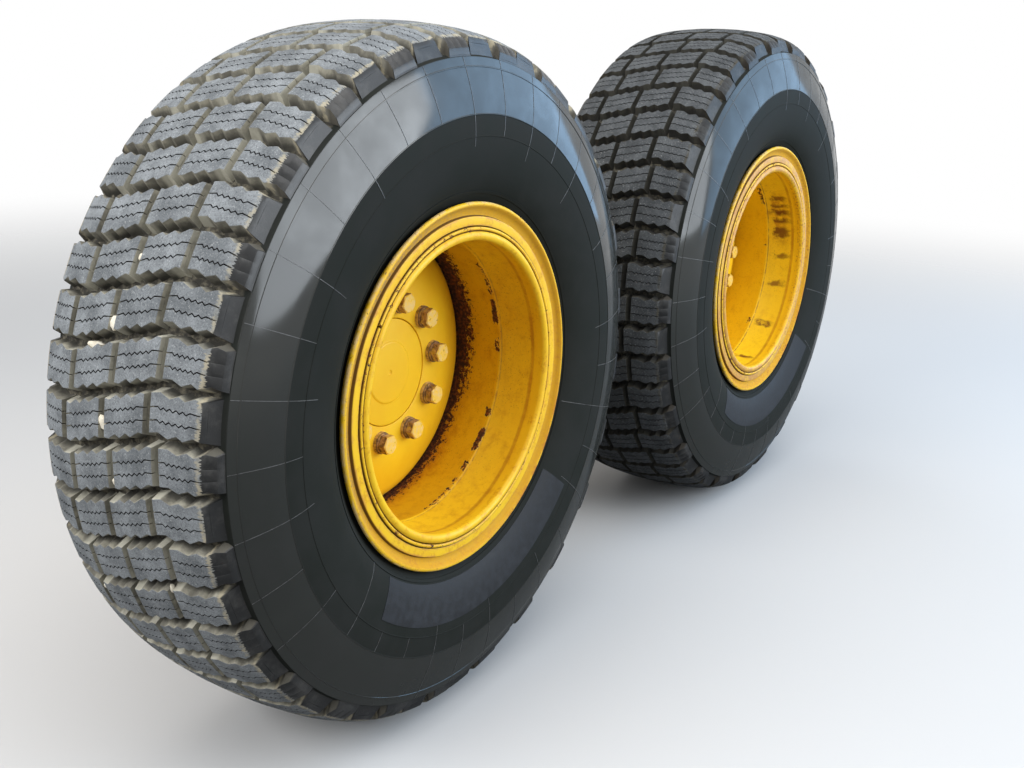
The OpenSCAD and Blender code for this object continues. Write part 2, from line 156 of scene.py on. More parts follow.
# Zones of the finishes in metres, as (from, to, softness): radii, or levels where the name
# says so
INNER_WALL = (0.2835, 0.2925, 0.0006)
HOLLOW = (0.3325, 0.352, 0.003)
ROUGH_HOLLOW = (0.331, 0.353, 0.003)
RING_FACES = ((0.289, 0.3045, 0.002), (0.3136, 0.3302, 0.001))
RING_EDGES = ((0.327, 0.3302, 0.0008), (0.3136, 0.316, 0.0008), (0.3046, 0.3064, 0.0006))
RING_JOINTS = ((0.3301, 0.3326, 0.0008), (0.3107, 0.3135, 0.0008), (0.3022, 0.3045, 0.0008))
CHIPPED_RING = (0.3005, 0.3135, 0.001)
DISC_EDGE = (0.2785, 0.282, 0.0008)
BESIDE_DISC = (0.281, 0.2925, 0.0004)
DISC_EDGE_LEVEL = (-0.028, -0.017, 0.003)
SHADED_LEVEL = (0.1675, 0.1765, 0.0025)
SEAM_LEVEL = (0.0925, 0.0948, 0.0007)
WELD_LEVEL = (0.0745, 0.0935, 0.006)
RUN_LEVEL = (0.115, 0.158, 0.013)
NUT_SEAM_LEVELS = ((0.0226, 0.0236, 0.0006), (0.0269, 0.0277, 0.0006))
GLOSSY_BAND = (0.518, 0.6165, 0.001)
DIRTY_LEVEL = (0.1715, 0.1775, 0.0015)

# Tones that lie over the paint and the steel
# painted light: a paler yellow that lightens the rear disc and the wall beside it where they lie in
# shade
PAINTED_LIGHT_YELLOW = (0.95, 0.66, 0.02)
WALL_STAIN = (0.56, 0.23, 0.006)
WALL_SPECKS = (0.3, 0.11, 0.012)
# painted shade: a darker orange line along the fold below the gutter roll
PAINTED_SHADE_LINE = (0.42, 0.15, 0.012)
SEAM_RUST = (0.2, 0.08, 0.015)
RUN_HALO = (0.4, 0.15, 0.008)
RUN = (0.17, 0.056, 0.008)
# painted shade: a deeper, darker orange for the flange's hollow
PAINTED_HOLLOW_SHADE = (0.58, 0.27, 0.004)
FACE_STAIN = (0.55, 0.22, 0.008)
HOLLOW_GRIME = (0.3, 0.2, 0.1)
WORN_FACE = (0.52, 0.26, 0.085)
FACE_RUST = (0.3, 0.11, 0.03)
RUBBED_EDGE = (0.55, 0.24, 0.07)
# grime and painted shade in the crevices between the rings
JOINT_GRIME_AND_SHADE = (0.07, 0.03, 0.008)
# a pale lip: rubbed, dusty paint and a painted highlight along its edge
LIP_WEAR_AND_HIGHLIGHT = (0.78, 0.6, 0.34)
RUSTY_LIP = (0.42, 0.13, 0.014)
LIP_DOTS = (0.12, 0.045, 0.015)
# painted highlight: a pale line along the disc's edge
DISC_EDGE_HIGHLIGHT = (0.72, 0.54, 0.24)
CHIP_RIM = (0.85, 0.6, 0.2)
SPECK_RIM = (0.85, 0.6, 0.25)
RUST_HALO = (0.58, 0.2, 0.006)
CASE_FILM = (0.13, 0.085, 0.045)
CASE_OIL = (0.075, 0.045, 0.022)
CASE_DUST = (0.34, 0.28, 0.18)
CASE_MUD = (0.22, 0.175, 0.115)
CASE_CHIP_EDGE = (0.4, 0.15, 0.02)
FINE_DUST = (0.3, 0.24, 0.16)
DARK_STEEL = (0.14, 0.075, 0.035)
BROWN_STEEL = (0.46, 0.27, 0.14)
DUSTY_PAINT = (0.74, 0.52, 0.2)
# painted shadow in the seams where the nut meets its collar and the collar its washer
NUT_SEAM_SHADOW = (0.05, 0.025, 0.012)

# Tones that lie over the rubber
# painted shade: near black deep in the grooves
GROOVE_DEPTH_SHADE = (0.035, 0.034, 0.032)
OUTER_GROOVE = (0.032, 0.027, 0.021)
DARK_CRUMBS = (0.05, 0.052, 0.058)
PALE_CRUMBS = (0.62, 0.62, 0.61)
# painted shade: near black inside the sipes
SIPE_SHADE = (0.006, 0.006, 0.006)
SHOULDER_DIRT = (0.42, 0.37, 0.26)
SHOULDER = (0.011, 0.0115, 0.012)
SCUFFED_SHOULDER = (0.045, 0.044, 0.042)
SMEARED_WALL = (0.021, 0.0222, 0.0205)
WALL_SPOTS = (0.12, 0.11, 0.1)
DARK_CLODS = (0.045, 0.043, 0.038)
PALE_CLODS = (0.16, 0.145, 0.11)

# Wear, as (from, to, amount) in degrees above the rear direction
WELD_CHIPS = {
    "front": ((-85, -60, 0.47), (-58, -50, 0.56), (-47, -35, 0.66), (-30, -25, 0.6),
              (-2, 5, 0.6), (11, 23, 0.7), (25, 45, 0.5)),
    "rear": ((-48, -43, 0.5), (2, 6, 0.46), (33, 48, 0.56)),
}
STREAKS = {
    "front": (),
    "rear": ((-80.6, -77.4, 0.95), (-48, -44, 0.95), (-19.8, -16.2, 0.8), (-2.4, 0.4, 0.8),
             (11.4, 16.6, 0.9), (20.5, 24, 0.9), (26, 29.5, 1.0), (31.5, 34, 0.85),
             (37, 41, 0.85)),
}

# Case and axle end, as (node, body, slot, rounding of its edges in metres)
CASE_PIECES = (
    ("case_shell", "tandem_case", "yellow_plate", 0.0015),
    ("pivot_ring", "tandem_case", "yellow_casting", 0.002),
    ("centre_cover", "tandem_case", "yellow_plate", 0.0012),
    ("filler_plug", "tandem_case", "bare_steel", 0.0008),
    ("breather", "tandem_case", "bare_steel", 0.0008),
    ("drain_plugs", "tandem_case", "bare_steel", 0.0008),
    ("final_drive_housing", "axle_end", "yellow_casting", 0.002),
    ("seal_plate", "axle_end", "grey_iron", 0.001),
) + tuple((f"{side}_{node}", "tandem_case", slot, bevel) for side in SIDES for node, slot, bevel in (
    ("spindle_housing", "yellow_casting", 0.0015),
    ("inner_cap", "yellow_plate", 0.0012),
    ("top_cover", "yellow_plate", 0.0012),
))

# The photograph's camera
LENS = 42.385
CAMERA_PLACE = (-2.5705, -2.1919, 0.6217)
CAMERA_FORWARD = Vector((0.80522453, 0.51980276, -0.28533936))
CAMERA_RIGHT = Vector((0.54839768, -0.83584655, 0.02491039))


def wheel_centre(side):
    low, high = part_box(side + "_tyre")
    return (low + high) / 2


def along(points, x):
    """Reads a line of (x, y) points at x."""
    if x <= points[0][0]:
        return points[0][1]
    for (xa, ya), (xb, yb) in zip(points, points[1:]):
        if x <= xb:
            return ya + (yb - ya) * (x - xa) / (xb - xa)
    return points[-1][1]


def unit(value):
    return max(0.0, min(1.0, value))


# Meshes


def only(kind, items):
    """Those of a mix of vertices, edges and faces that are of one kind."""
    return [item for item in items if isinstance(item, kind)]


def flat_at_top(part):
    """Whether an edge or a face lies whole in the plane z = 0."""
    return all(abs(vert.co.z) < TINY for vert in part.verts)


def turn_about_axle(bm, angle, verts=None):
    bmesh.ops.rotate(bm, verts=verts or bm.verts[:], cent=(0, 0, 0),
                     matrix=Matrix.Rotation(angle, 3, AXLE))


def new_piece(name, bm, body, materials, smooth, replaces=()):
    """Turns a bmesh in metres into a piece that rides on a body; edges under the angle
    smooth, in degrees, are shaded smooth."""
    bmesh.ops.recalc_face_normals(bm, faces=bm.faces[:])
    mesh = bpy.data.meshes.new(name)
    bm.to_mesh(mesh)
    bm.free()
    mesh.shade_smooth()
    mesh.set_sharp_from_angle(angle=math.radians(smooth))
    piece = bpy.data.objects.new(name, mesh)
    bpy.context.scene.collection.objects.link(piece)
    for material in materials:
        mesh.materials.append(material)
    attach(piece, body)
    for node in replaces:
        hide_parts(node)
    return piece


def wheel_piece(side, name, bm, materials, smooth, replaces=()):
    """Scales a mesh about the axle to metres, moves it to its wheel and makes the piece."""
    bmesh.ops.scale(bm, verts=bm.verts[:], vec=(MM, MM, MM))
    bmesh.ops.translate(bm, verts=bm.verts[:], vec=wheel_centre(side))
    return new_piece(name, bm, side + "_wheel", materials, smooth, replaces)


def add_ring(bm, section, steps, start=0.0, sweep=TURN):
    """Spins a closed section of (radius, level, rounding) about the axle."""
    verts = [bm.verts.new((point[0], -point[1], 0)) for point in section]
    rounding = {}
    for vert, point in zip(verts, section):
        if len(point) > 2:
            rounding.setdefault(point[2], []).append(vert)
    bm.faces.new(verts)
    for size, corners in sorted(rounding.items()):
        bmesh.ops.bevel(bm, geom=corners, offset=size, offset_type="OFFSET", segments=4,
                        profile=0.5, affect="VERTICES", material=-1)
    face = next(face for face in bm.faces if flat_at_top(face))
    line = face.edges[:]
    ends = face.verts[:]
    whole = sweep > TURN - TINY
    if whole:
        bmesh.ops.delete(bm, geom=[face], context="FACES_ONLY")
    turn_about_axle(bm, start, ends)
    bmesh.ops.spin(bm, geom=line if whole else [face] + line, cent=(0, 0, 0), axis=AXLE,
                   angle=sweep, steps=steps, use_merge=whole)


def arc(centre, radius, start, end, count):
    """Points of an arc in a section, with angles in degrees."""
    angles = [math.radians(start + (end - start) * i / count) for i in range(count + 1)]
    return [(centre[0] + radius * math.cos(angle), centre[1] + radius * math.sin(angle))
            for angle in angles]


def mirrored(points):
    return [(point[0], -point[1]) + tuple(point[2:]) for point in reversed(points)]


# Tread blocks


def sipe_points(x0, x1, wave):
    """A fine cut across a block as (x, step): a zigzag, straight near the ends."""
    start, stop = max(x0, -WORN_END), min(x1, WORN_END)
    points = [(start, 0), (start + 1, 0)]
    for i in range(SIPE_ZIGS + 1):
        at = SIPE_FIRST + SIPE_SPAN * i / SIPE_ZIGS
        points.append((start + (stop - start) * at, wave if i % 2 else -wave))
    points += [(stop - 1, 0), (stop, 0)]
    if x0 < start:
        points = [(x0, 0), (start - 1, 0)] + points
    if x1 > stop:
        points += [(stop + 1, 0), (x1, 0)]
    return points


def block_lines(x0, x1, low, high, shoulder, sizes):
    """The toothed edges of a block and the two sipes between them, as lists of
    (x, run, side), where side says which way the wall leans as it goes down."""
    teeth = SHOULDER_TEETH if shoulder else BLOCK_TEETH
    if shoulder > 0:
        teeth = tuple((1 - at, -step) for at, step in reversed(teeth))
    edge = [(x0 + (x1 - x0) * at, step) for at, step in teeth]
    sipe = sipe_points(x0, x1, sizes.sipe_wave)
    lines = ((edge, low, -1), (sipe, low + (high - low) / 3, 0),
             (sipe, low + (high - low) * 2 / 3, 0), (edge, high, 1))
    return [[(x, base + along(GROOVE_RUN, x) + step, side) for x, step in line]
            for line, base, side in lines]


def add_prism(bm, loop, top, depth):
    """Extrudes a loop of (x, run, lean_x, lean_run, in_sipe, outer) between two depths."""
    verts = []
    lean = {}
    marks = [bm.verts.layers.float[name] for name in TREAD_MARKS[1:]]
    for x, run, lean_x, lean_run, *values in loop:
        vert = bm.verts.new((x + lean_x * top, run + lean_run * top, -top))
        for mark, value in zip(marks, values):
            vert[mark] = value
        verts.append(vert)
        lean[tuple(round(c, 3) for c in vert.co)] = (lean_x, lean_run)
    face = bm.faces.new(verts)
    made = bmesh.ops.extrude_face_region(bm, geom=[face])["geom"]
    for vert in only(bmesh.types.BMVert, made):
        lean_x, lean_run = lean[tuple(round(c, 3) for c in vert.co)]
        vert.co += Vector((lean_x, lean_run, -1)) * (depth - top)


def add_block(bm, x0, x1, low, high, shoulder, sizes):
    """One tread block: a foot, and three strips that the sipes part."""
    lines = block_lines(x0, x1, low, high, shoulder, sizes)
    deep = sizes.depth + BLOCK_SINK
    foot = LONG_FOOT if max(abs(x0), abs(x1)) > SHORT_END + 1 else SHORT_FOOT

    def leaning(x, run, side):
        lean_run = side * (LEAN + SHOULDER_LEAN * unit((abs(x) - LEAN_FROM) / LEAN_OVER))
        lean_x = 0.0
        at_shoulder = 0.0
        for end, outer, sign in ((x0, shoulder < 0, -1), (x1, shoulder > 0, 1)):
            if abs(x - end) < TINY:
                lean_x = sign * ((foot - abs(x)) / deep if outer else GROOVE_LEAN)
                at_shoulder = float(outer)
        in_sipe = side == 0 and not lean_x and abs(x) < WORN_END + 0.5
        return (x, run, lean_x, lean_run, float(in_sipe), at_shoulder)

    def opened(line, way):
        """A line moved by half the width of a sipe, where it is one."""
        for x, run, side in line:
            half = 0.0 if side or abs(x) > WORN_END + 0.5 else sizes.sipe / 2
            yield leaning(x, run + way * half, side)

    whole = [leaning(*p) for p in lines[0]] + [leaning(*p) for p in reversed(lines[3])]
    add_prism(bm, whole, SIPE_TOP, deep)
    for below, above in zip(lines, lines[1:]):
        add_prism(bm, [*opened(below, 1), *opened(reversed(above), -1)], 0.0, SIPE_TOP)


def add_row(bm, first, shift, sizes):
    """The four blocks of one row between two cross grooves."""
    out = LONG_END if shift < 0 else SHORT_END
    inner = LONG_END if shift > 0 else SHORT_END
    links = [k * COLUMN + shift + COLUMN_SHIFT for k in (-1, 0, 1)]
    half = sizes.round_groove / 2
    starts = [-out] + [x + half for x in links]
    stops = [x - half for x in links] + [inner]
    low = first + sizes.cross_groove / 2
    high = first + sizes.pitch - sizes.cross_groove / 2
    for x0, x1, shoulder in zip(starts, stops, (-1, 0, 0, 1)):
        add_block(bm, x0, x1, low, high, shoulder, sizes)


def bend_to_crown(bm, deep):
    """Bends the flat tread with x inboard and y round the tyre onto the crown, and lets the
    tops fall away at the shoulders."""
    for vert in bm.verts:
        x, run, level = vert.co
        radius = along(CROWN, abs(x)) + level
        radius -= along(SHOULDER_DROP, abs(x)) * unit(1 + level / deep)
        angle = run / CROWN[0][1]
        vert.co = (radius * math.cos(angle), x, radius * math.sin(angle))


class TreadSizes:
    """The tread settings in millimetres."""

    def __init__(self, tread):
        self.rows = tread.rows
        self.pitch = TURN * CROWN[0][1] / tread.rows
        self.depth = tread.groove_depth / MM
        self.cross_groove = tread.cross_groove / MM
        self.round_groove = tread.round_groove / MM
        self.sipe = tread.sipe_width / MM
        self.sipe_wave = tread.sipe_wave / MM


def tread_mesh(sizes, side):
    """Two rows of blocks, bent to the crown and spun round the tyre."""
    bm = bmesh.new()
    for name in TREAD_MARKS:
        bm.verts.layers.float.new(name)
    add_row(bm, 0.0, -ROW_SHIFT, sizes)
    add_row(bm, sizes.pitch, ROW_SHIFT, sizes)
    tops = [edge for edge in bm.edges if flat_at_top(edge)]
    bmesh.ops.bevel(bm, geom=tops, offset=BLOCK_EDGE, offset_type="OFFSET", segments=1,
                    profile=0.5, affect="EDGES", material=-1, clamp_overlap=False)
    for x in [-cut for cut in BEND_CUTS] + list(BEND_CUTS):
        bmesh.ops.bisect_plane(bm, geom=bm.verts[:] + bm.edges[:] + bm.faces[:],
                               plane_co=(x, 0, 0), plane_no=(1, 0, 0), dist=1e-4)
    layer = bm.verts.layers.float[TREAD_MARKS[0]]
    for vert in bm.verts:
        vert[layer] = -vert.co.z / sizes.depth
    bend_to_crown(bm, sizes.depth)
    pairs = sizes.rows // 2
    bmesh.ops.spin(bm, geom=bm.verts[:] + bm.edges[:] + bm.faces[:], cent=(0, 0, 0), axis=AXLE,
                   angle=TURN * (pairs - 1) / pairs, steps=pairs - 1, use_duplicate=True)
    turn_about_axle(bm, TREAD_PHASE[side])
    return bm


# Tyre walls


def carcass_section(depth):
    """Closed section of the tyre without its blocks, with ridges on both walls."""
    wall = list(WALL[:-1])
    for radius, (width, height) in RIDGES.items():
        edge = width / 2
        wall = [point for point in wall if abs(point[0] - radius) > edge + 1.5]
        for step, rise in ((-edge - 0.7, 0), (-edge, height), (edge, height), (edge + 0.7, 0)):
            wall.append((radius + step, along(WALL, radius + step) + rise))
    wall.sort()
    foot = [(382, 176), (337, 137), (BEAD_R, 132), (BEAD_R, 177.6), (337.5, 177.6), (354, 187),
            (364, 193.2)]
    floor = [(617, 199.3), (617.6, 195.8)]
    floor += [(along(CROWN, x) - depth, x) for x in (191, 180, 170.5, 155, 137, 94, 48)]
    half = foot + wall + floor
    lining = [(621, 0), (606, 133), (574, 182), (535, 204), (475, 206)]
    return (lining + half + [(along(CROWN, 0) - depth, 0)]
            + mirrored(half) + mirrored(lining[1:]))


def add_mould_line(bm, start, end, angle, slot):
    """A thin raised line along the wall from an outer radius to an inner one."""
    made = bmesh.ops.create_cube(bm, size=1.0)["verts"]
    bmesh.ops.scale(bm, verts=made, vec=(start - end, MOULD_WIDTH, 1.0))
    bmesh.ops.translate(bm, verts=made, vec=((start + end) / 2, 0, 0))
    faces = list({face for vert in made for face in vert.link_faces})
    for face in faces:
        face.material_index = slot
    count = max(2, int((start - end) / MOULD_STEP))
    geom = made + list({edge for vert in made for edge in vert.link_edges}) + faces
    for i in range(1, count):
        cut = end + (start - end) * i / count
        geom = bmesh.ops.bisect_plane(bm, geom=geom, plane_co=(cut, 0, 0),
                                      plane_no=(1, 0, 0))["geom"]
    verts = only(bmesh.types.BMVert, geom)
    for vert in verts:
        out = MOULD_RISE if vert.co.y < 0 else -MOULD_SINK
        vert.co.y = -(along(WALL, vert.co.x) + out)
    turn_about_axle(bm, angle, verts)


def add_bare_panel(bm, slot):
    """The raised panel on the lower wall, left bare."""
    made = bmesh.ops.create_grid(bm, x_segments=44, y_segments=8, size=0.5)["verts"]
    faces = list({face for vert in made for face in vert.link_faces})
    for vert in made:
        angle = math.radians(PANEL_AT + PANEL_SPREAD * vert.co.x)
        radius = PANEL_R + PANEL_WIDTH * vert.co.y
        vert.co = (radius * math.cos(angle), PANEL_SINK - along(WALL, radius),
                   radius * math.sin(angle))
    raised = bmesh.ops.extrude_face_region(bm, geom=faces)["geom"]
    top = only(bmesh.types.BMVert, raised)
    bmesh.ops.translate(bm, verts=top, vec=(0, -PANEL_SINK - PANEL_RISE, 0))
    for face in {face for vert in top for face in vert.link_faces}:
        face.material_index = slot


def wall_mesh(depth):
    """The carcass with its mould lines and the bare panel."""
    bm = bmesh.new()
    add_ring(bm, carcass_section(depth), CARCASS_STEPS)
    for k in range(MOULD_LINES):
        angle = MOULD_PHASE + TURN * k / MOULD_LINES
        ends = (BAND_TOP, MOULD_ENDS[k % len(MOULD_ENDS)])
        add_mould_line(bm, *(PANEL_LINE_ENDS if k in PANEL_LINES else ends), angle, 1)
        if k in LONG_LINES:
            add_mould_line(bm, *LONG_LINE_ENDS, angle, 1)
    add_bare_panel(bm, 2)
    return bm


# Rims and nuts


def flange_section(foot):
    """Section of a flange from its foot up the bead face, round the lip and back."""
    return ([(foot, 177.8), (334.5, 178.8, 4), (348.3, 187.4, 4)]
            + arc((LIP_R - CURL, LIP - CURL), CURL, -30, 125, 8)
            + [(343.4, 196.2, 5), (332.1, 193.4, 1.2), (330.2, 200.4, 2)])


def rim_section():
    """The base with its gutter roll, the weld bead, the inboard flange and the bead seats."""
    roll = arc((294.5, 196.5), 9.5, 0, 190, 14)
    bead = [(289, 94.5), (288.2, 93.2), (286.9, 91.5), (286.5, 88.5), (287, 85.5), (288.4, 84)]
    return (roll + [(286.2, 184, 3), (289, 171, 3)] + bead + [(289, 83)]
            + [(BORE_R, -194, 4), (295, -202, 3)]
            + mirrored(flange_section(BEAD_R))
            + [(BEAD_R, -127.8, 5), (303, -115.8, 5), (303, 117.8, 5), (BEAD_R, 127.8, 5)]
            + [(BEAD_R, 176.8, 1), (303, 176.8), (303.6, 190)])


DISC_SECTION = [(110.5, DISC_FACE, 1.5), (110.5, -2), (186, -2, 10), (268, -32, 6), (289, -54),
                (289, -36), (282.6, -25, 0.9), (268, -11.4, 12), (188, DISC_FACE, 30)]
HUB_SECTION = [(0, 15.4), (4, 15.8), (6, 17.6), (61.5, 17.6, 1.6), (64.5, 15.2, 0.8),
               (109, 15, 1.6), (109, -2), (178, -2, 2), (178, -26, 3), (137, -26, 4),
               (129, -70), (55, -70), (55, -240), (0, -240)]


def ring_mesh(side, section, steps, ripple, start=0.0, sweep=TURN):
    """A spun piece of a wheel, waved by up to the ripple as worked steel is."""
    bm = bmesh.new()
    add_ring(bm, section, steps, start, sweep)
    noise.seed_set(WAVES_SEED)
    for vert in bm.verts:
        vert.co += ripple * noise.noise_vector(vert.co * 0.02 + Vector((side == "rear", 3, 7)))
    return bm


def add_nut(bm, angle):
    """A hexagon nut with a chamfered top on a round washer."""
    half = NUT_FLATS / 2
    top = bmesh.ops.create_circle(bm, cap_ends=True, segments=24, radius=half * 0.96)["verts"]
    part = list(top)
    face = top[0].link_faces[0]
    bmesh.ops.translate(bm, verts=top, vec=(0, 0, NUT_HEIGHT))
    for level in (NUT_HEIGHT - NUT_CHAMFER, -1):
        made = bmesh.ops.extrude_face_region(bm, geom=[face])["geom"]
        lower = only(bmesh.types.BMVert, made)
        for vert in lower:
            at = math.atan2(vert.co.y, vert.co.x)
            far = half / math.cos(at % (math.pi / 3) - math.pi / 6)
            vert.co = (far * math.cos(at), far * math.sin(at), level)
        part += lower
        face = only(bmesh.types.BMFace, made)[0]
    # the washer, then the nut's own collar
    for wide, slope, thick, low in ((NUT_FLATS * 0.66, 1.2, WASHER, -WASHER),
                                    (NUT_FLATS * 0.6, 1.6, 4.8, -0.6)):
        ring = bmesh.ops.create_cone(bm, cap_ends=True, segments=36, radius1=wide,
                                     radius2=wide - slope, depth=thick)["verts"]
        bmesh.ops.translate(bm, verts=ring, vec=(0, 0, low + thick / 2))
        part += ring
    spin = random.Random(round(math.degrees(angle))).uniform(0, math.pi / 3)
    for turn, axis in ((spin, "Z"), (math.pi / 2, "X")):
        bmesh.ops.rotate(bm, verts=part, cent=(0, 0, 0), matrix=Matrix.Rotation(turn, 3, axis))
    bmesh.ops.translate(bm, verts=part, vec=(STUD_R, -DISC_FACE - WASHER, 0))
    turn_about_axle(bm, angle, part)


# Case and axle end


def cad_copy(node, bevel):
    """A merged copy of a CAD solid with its sharp edges rounded, in metres."""
    bm = bmesh.new()
    bm.from_mesh(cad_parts[node].data)
    bmesh.ops.remove_doubles(bm, verts=bm.verts[:], dist=MERGE)
    bmesh.ops.dissolve_limit(bm, angle_limit=FLAT_ANGLE, verts=bm.verts[:], edges=bm.edges[:])
    sharp = [edge for edge in bm.edges if len(edge.link_faces) == 2
             and edge.calc_face_angle(0) > SHARP_ANGLE]
    bmesh.ops.bevel(bm, geom=sharp, offset=bevel, offset_type="OFFSET", segments=2, profile=0.5,
                    affect="EDGES", material=-1, clamp_overlap=True)
    return bm


# Shading


class Shader:
    """A material's node tree, or a group's, with short ways to add and join nodes."""

    def __init__(self, tree):
        self.tree = tree

    def fill(self, item, values):
        """Links sockets to a node's inputs, and sets the inputs given as plain values."""
        for key, value in values.items():
            socket = item.inputs[key]
            if isinstance(value, bpy.types.NodeSocket):
                self.tree.links.new(value, socket)
            elif socket.type == "RGBA":
                socket.default_value = tuple(value) + (1.0,) * (4 - len(value))
            else:
                socket.default_value = value

    def put(self, kind, values=None, **settings):
        item = self.tree.nodes.new(kind)
        for key, value in settings.items():
            setattr(item, key, value)
        self.fill(item, values or {})
        return item

    def math(self, operation, a, b=0.0, clamp=False):
        return self.put("ShaderNodeMath", {0: a, 1: b}, operation=operation,
                        use_clamp=clamp).outputs[0]

    def fold(self, operation, values):
        return functools.reduce(lambda a, b: self.math(operation, a, b), values)

    def plus(self, *values):
        return self.fold("ADD", values)

    def minus(self, a, b):
        return self.math("SUBTRACT", a, b)

    def times(self, *values):
        return self.fold("MULTIPLY", values)

    def most(self, *values):
        return self.fold("MAXIMUM", values)

    def length(self, a, b):
        return self.math("SQRT", self.plus(self.times(a, a), self.times(b, b)))

    def ramp(self, value, low, high, out_low=0.0, out_high=1.0):
        """Maps low..high to out_low..out_high, smoothly and clamped."""
        return self.put("ShaderNodeMapRange", {
            "Value": value, "From Min": low, "From Max": high, "To Min": out_low,
            "To Max": out_high}, interpolation_type="SMOOTHSTEP").outputs["Result"]

    def window(self, value, low, high, soft):
        """A mask that is 1 between low and high and fades over soft."""
        return self.times(self.ramp(value, low - soft, low + soft),
                          self.ramp(value, high + soft, high - soft))

    def windows(self, value, zones):
        return self.most(*[self.window(value, *zone) for zone in zones])

    def arc(self, turn, low, high, soft):
        """A window between two angles in degrees, on a turn in radians."""
        return self.window(turn, math.radians(low), math.radians(high), soft)

    def noise(self, vector, scale, detail=3.0, roughness=0.55, distortion=0.0):
        return self.put("ShaderNodeTexNoise", {
            "Vector": vector, "Scale": scale, "Detail": detail, "Roughness": roughness,
            "Distortion": distortion}).outputs["Fac"]

    def sway(self, pattern, amount):
        """A noise made a shift of up to half the amount each way."""
        return self.times(self.minus(pattern, 0.5), amount)

    def mix(self, factor, a, b):
        return self.put("ShaderNodeMix", {"Factor": factor, 6: a, 7: b},
                        data_type="RGBA").outputs[2]

    def lay(self, colour, over, *masks):
        """Lays a colour over another where all the masks are high."""
        return self.mix(self.times(*masks), colour, over)

    def bump(self, height, strength, distance):
        return self.put("ShaderNodeBump", {"Strength": strength, "Distance": distance,
                                           "Height": height}).outputs["Normal"]

    def vector(self, x, y=0.0, z=0.0):
        return self.put("ShaderNodeCombineXYZ", {0: x, 1: y, 2: z}).outputs[0]

    def split(self, vector):
        return self.put("ShaderNodeSeparateXYZ", {0: vector}).outputs

    def group(self, name, inputs, outputs, build, values):
        """Places a node group, which build fills the first time that it is asked for."""
        if name not in bpy.data.node_groups:
            tree = bpy.data.node_groups.new(name, "ShaderNodeTree")
            for label, kind in inputs.items():
                tree.interface.new_socket(label, in_out="INPUT",
                                          socket_type="NodeSocket" + kind)
            for label in outputs:
                tree.interface.new_socket(label, in_out="OUTPUT",
                                          socket_type="NodeSocketFloat")
            inner = Shader(tree)
            given = inner.put("NodeGroupInput").outputs
            inner.fill(inner.put("NodeGroupOutput"), build(inner, given))
        return self.put("ShaderNodeGroup", values, node_tree=bpy.data.node_groups[name]).outputs


def wheel_place_nodes(make, given):
    """Radius, angle and outboard level of a point about the wheel's axle, in metres."""
    x, y, z = make.split(given["Place"])
    return {"Radius": make.length(x, z), "Turn": make.math("ARCTAN2", z, x),
            "Level": make.times(y, -1.0)}


def flakes_nodes(make, given):
    """Ragged flakes of a coat that has come off: more of them as the cover rises."""
    grain = make.noise(given["Place"], given["Scale"], 6.0, 0.62, 0.6)
    fine = make.noise(given["Place"], make.times(given["Scale"], 4.3), 3.0, 0.6)
    level = make.plus(make.times(grain, 0.8), make.times(fine, 0.2))
    above = make.minus(level, make.minus(0.86, make.times(given["Cover"], 0.66)))
    return {"Mask": make.ramp(above, 0.0, 0.012), "Edge": make.ramp(above, -0.03, 0.0)}


def wheel_place(make, place):
    return make.group("Wheel place", {"Place": "Vector"}, ("Radius", "Turn", "Level"),
                      wheel_place_nodes, {"Place": place})


def flakes(make, place, scale, cover):
    return make.group("Flakes", {"Place": "Vector", "Scale": "Float", "Cover": "Float"},
                      ("Mask", "Edge"), flakes_nodes,
                      {"Place": place, "Scale": scale, "Cover": cover})


def start_material(name):
    material = bpy.data.materials.new(name)
    material.use_nodes = True
    material.node_tree.nodes.clear()
    make = Shader(material.node_tree)
    skin = make.put("ShaderNodeBsdfPrincipled")
    make.put("ShaderNodeOutputMaterial", {0: skin.outputs[0]})
    return material, make, skin


def object_place(make):
    return make.put("ShaderNodeTexCoord").outputs["Object"]


def centred(make, side):
    """Object coordinates moved to a wheel's centre."""
    return make.put("ShaderNodeMapping", {"Vector": object_place(make),
                                          "Location": tuple(-wheel_centre(side))}).outputs[0]


def dimmed(colour, share):
    return [part * share for part in colour]


# Paint and rust


class RimPlaces:
    """Coordinates about a wheel, with the noises and masks that the rim's wear and its painted shade
    share.
    """

    def __init__(self, make, side):
        self.place = centred(make, side)
        self.radius, self.turn, self.level = wheel_place(make, self.place)
        self.wander = make.noise(self.place, 4.0, 3.0)
        self.stain = make.noise(self.place, 38.0, 6.0, 0.68)
        self.speck = make.noise(self.place, 170.0, 4.0, 0.7)
        self.wobble = make.plus(self.turn, make.sway(make.noise(self.place, 30.0, 3.0), 0.1))
        self.inside = make.ramp(self.level, 0.19, 0.178)
        self.on_wall = make.times(make.window(self.radius, *INNER_WALL), self.inside)
        self.face = make.ramp(self.level, 0.186, 0.190)
        self.hollow = make.times(make.window(self.radius, *HOLLOW), self.face)


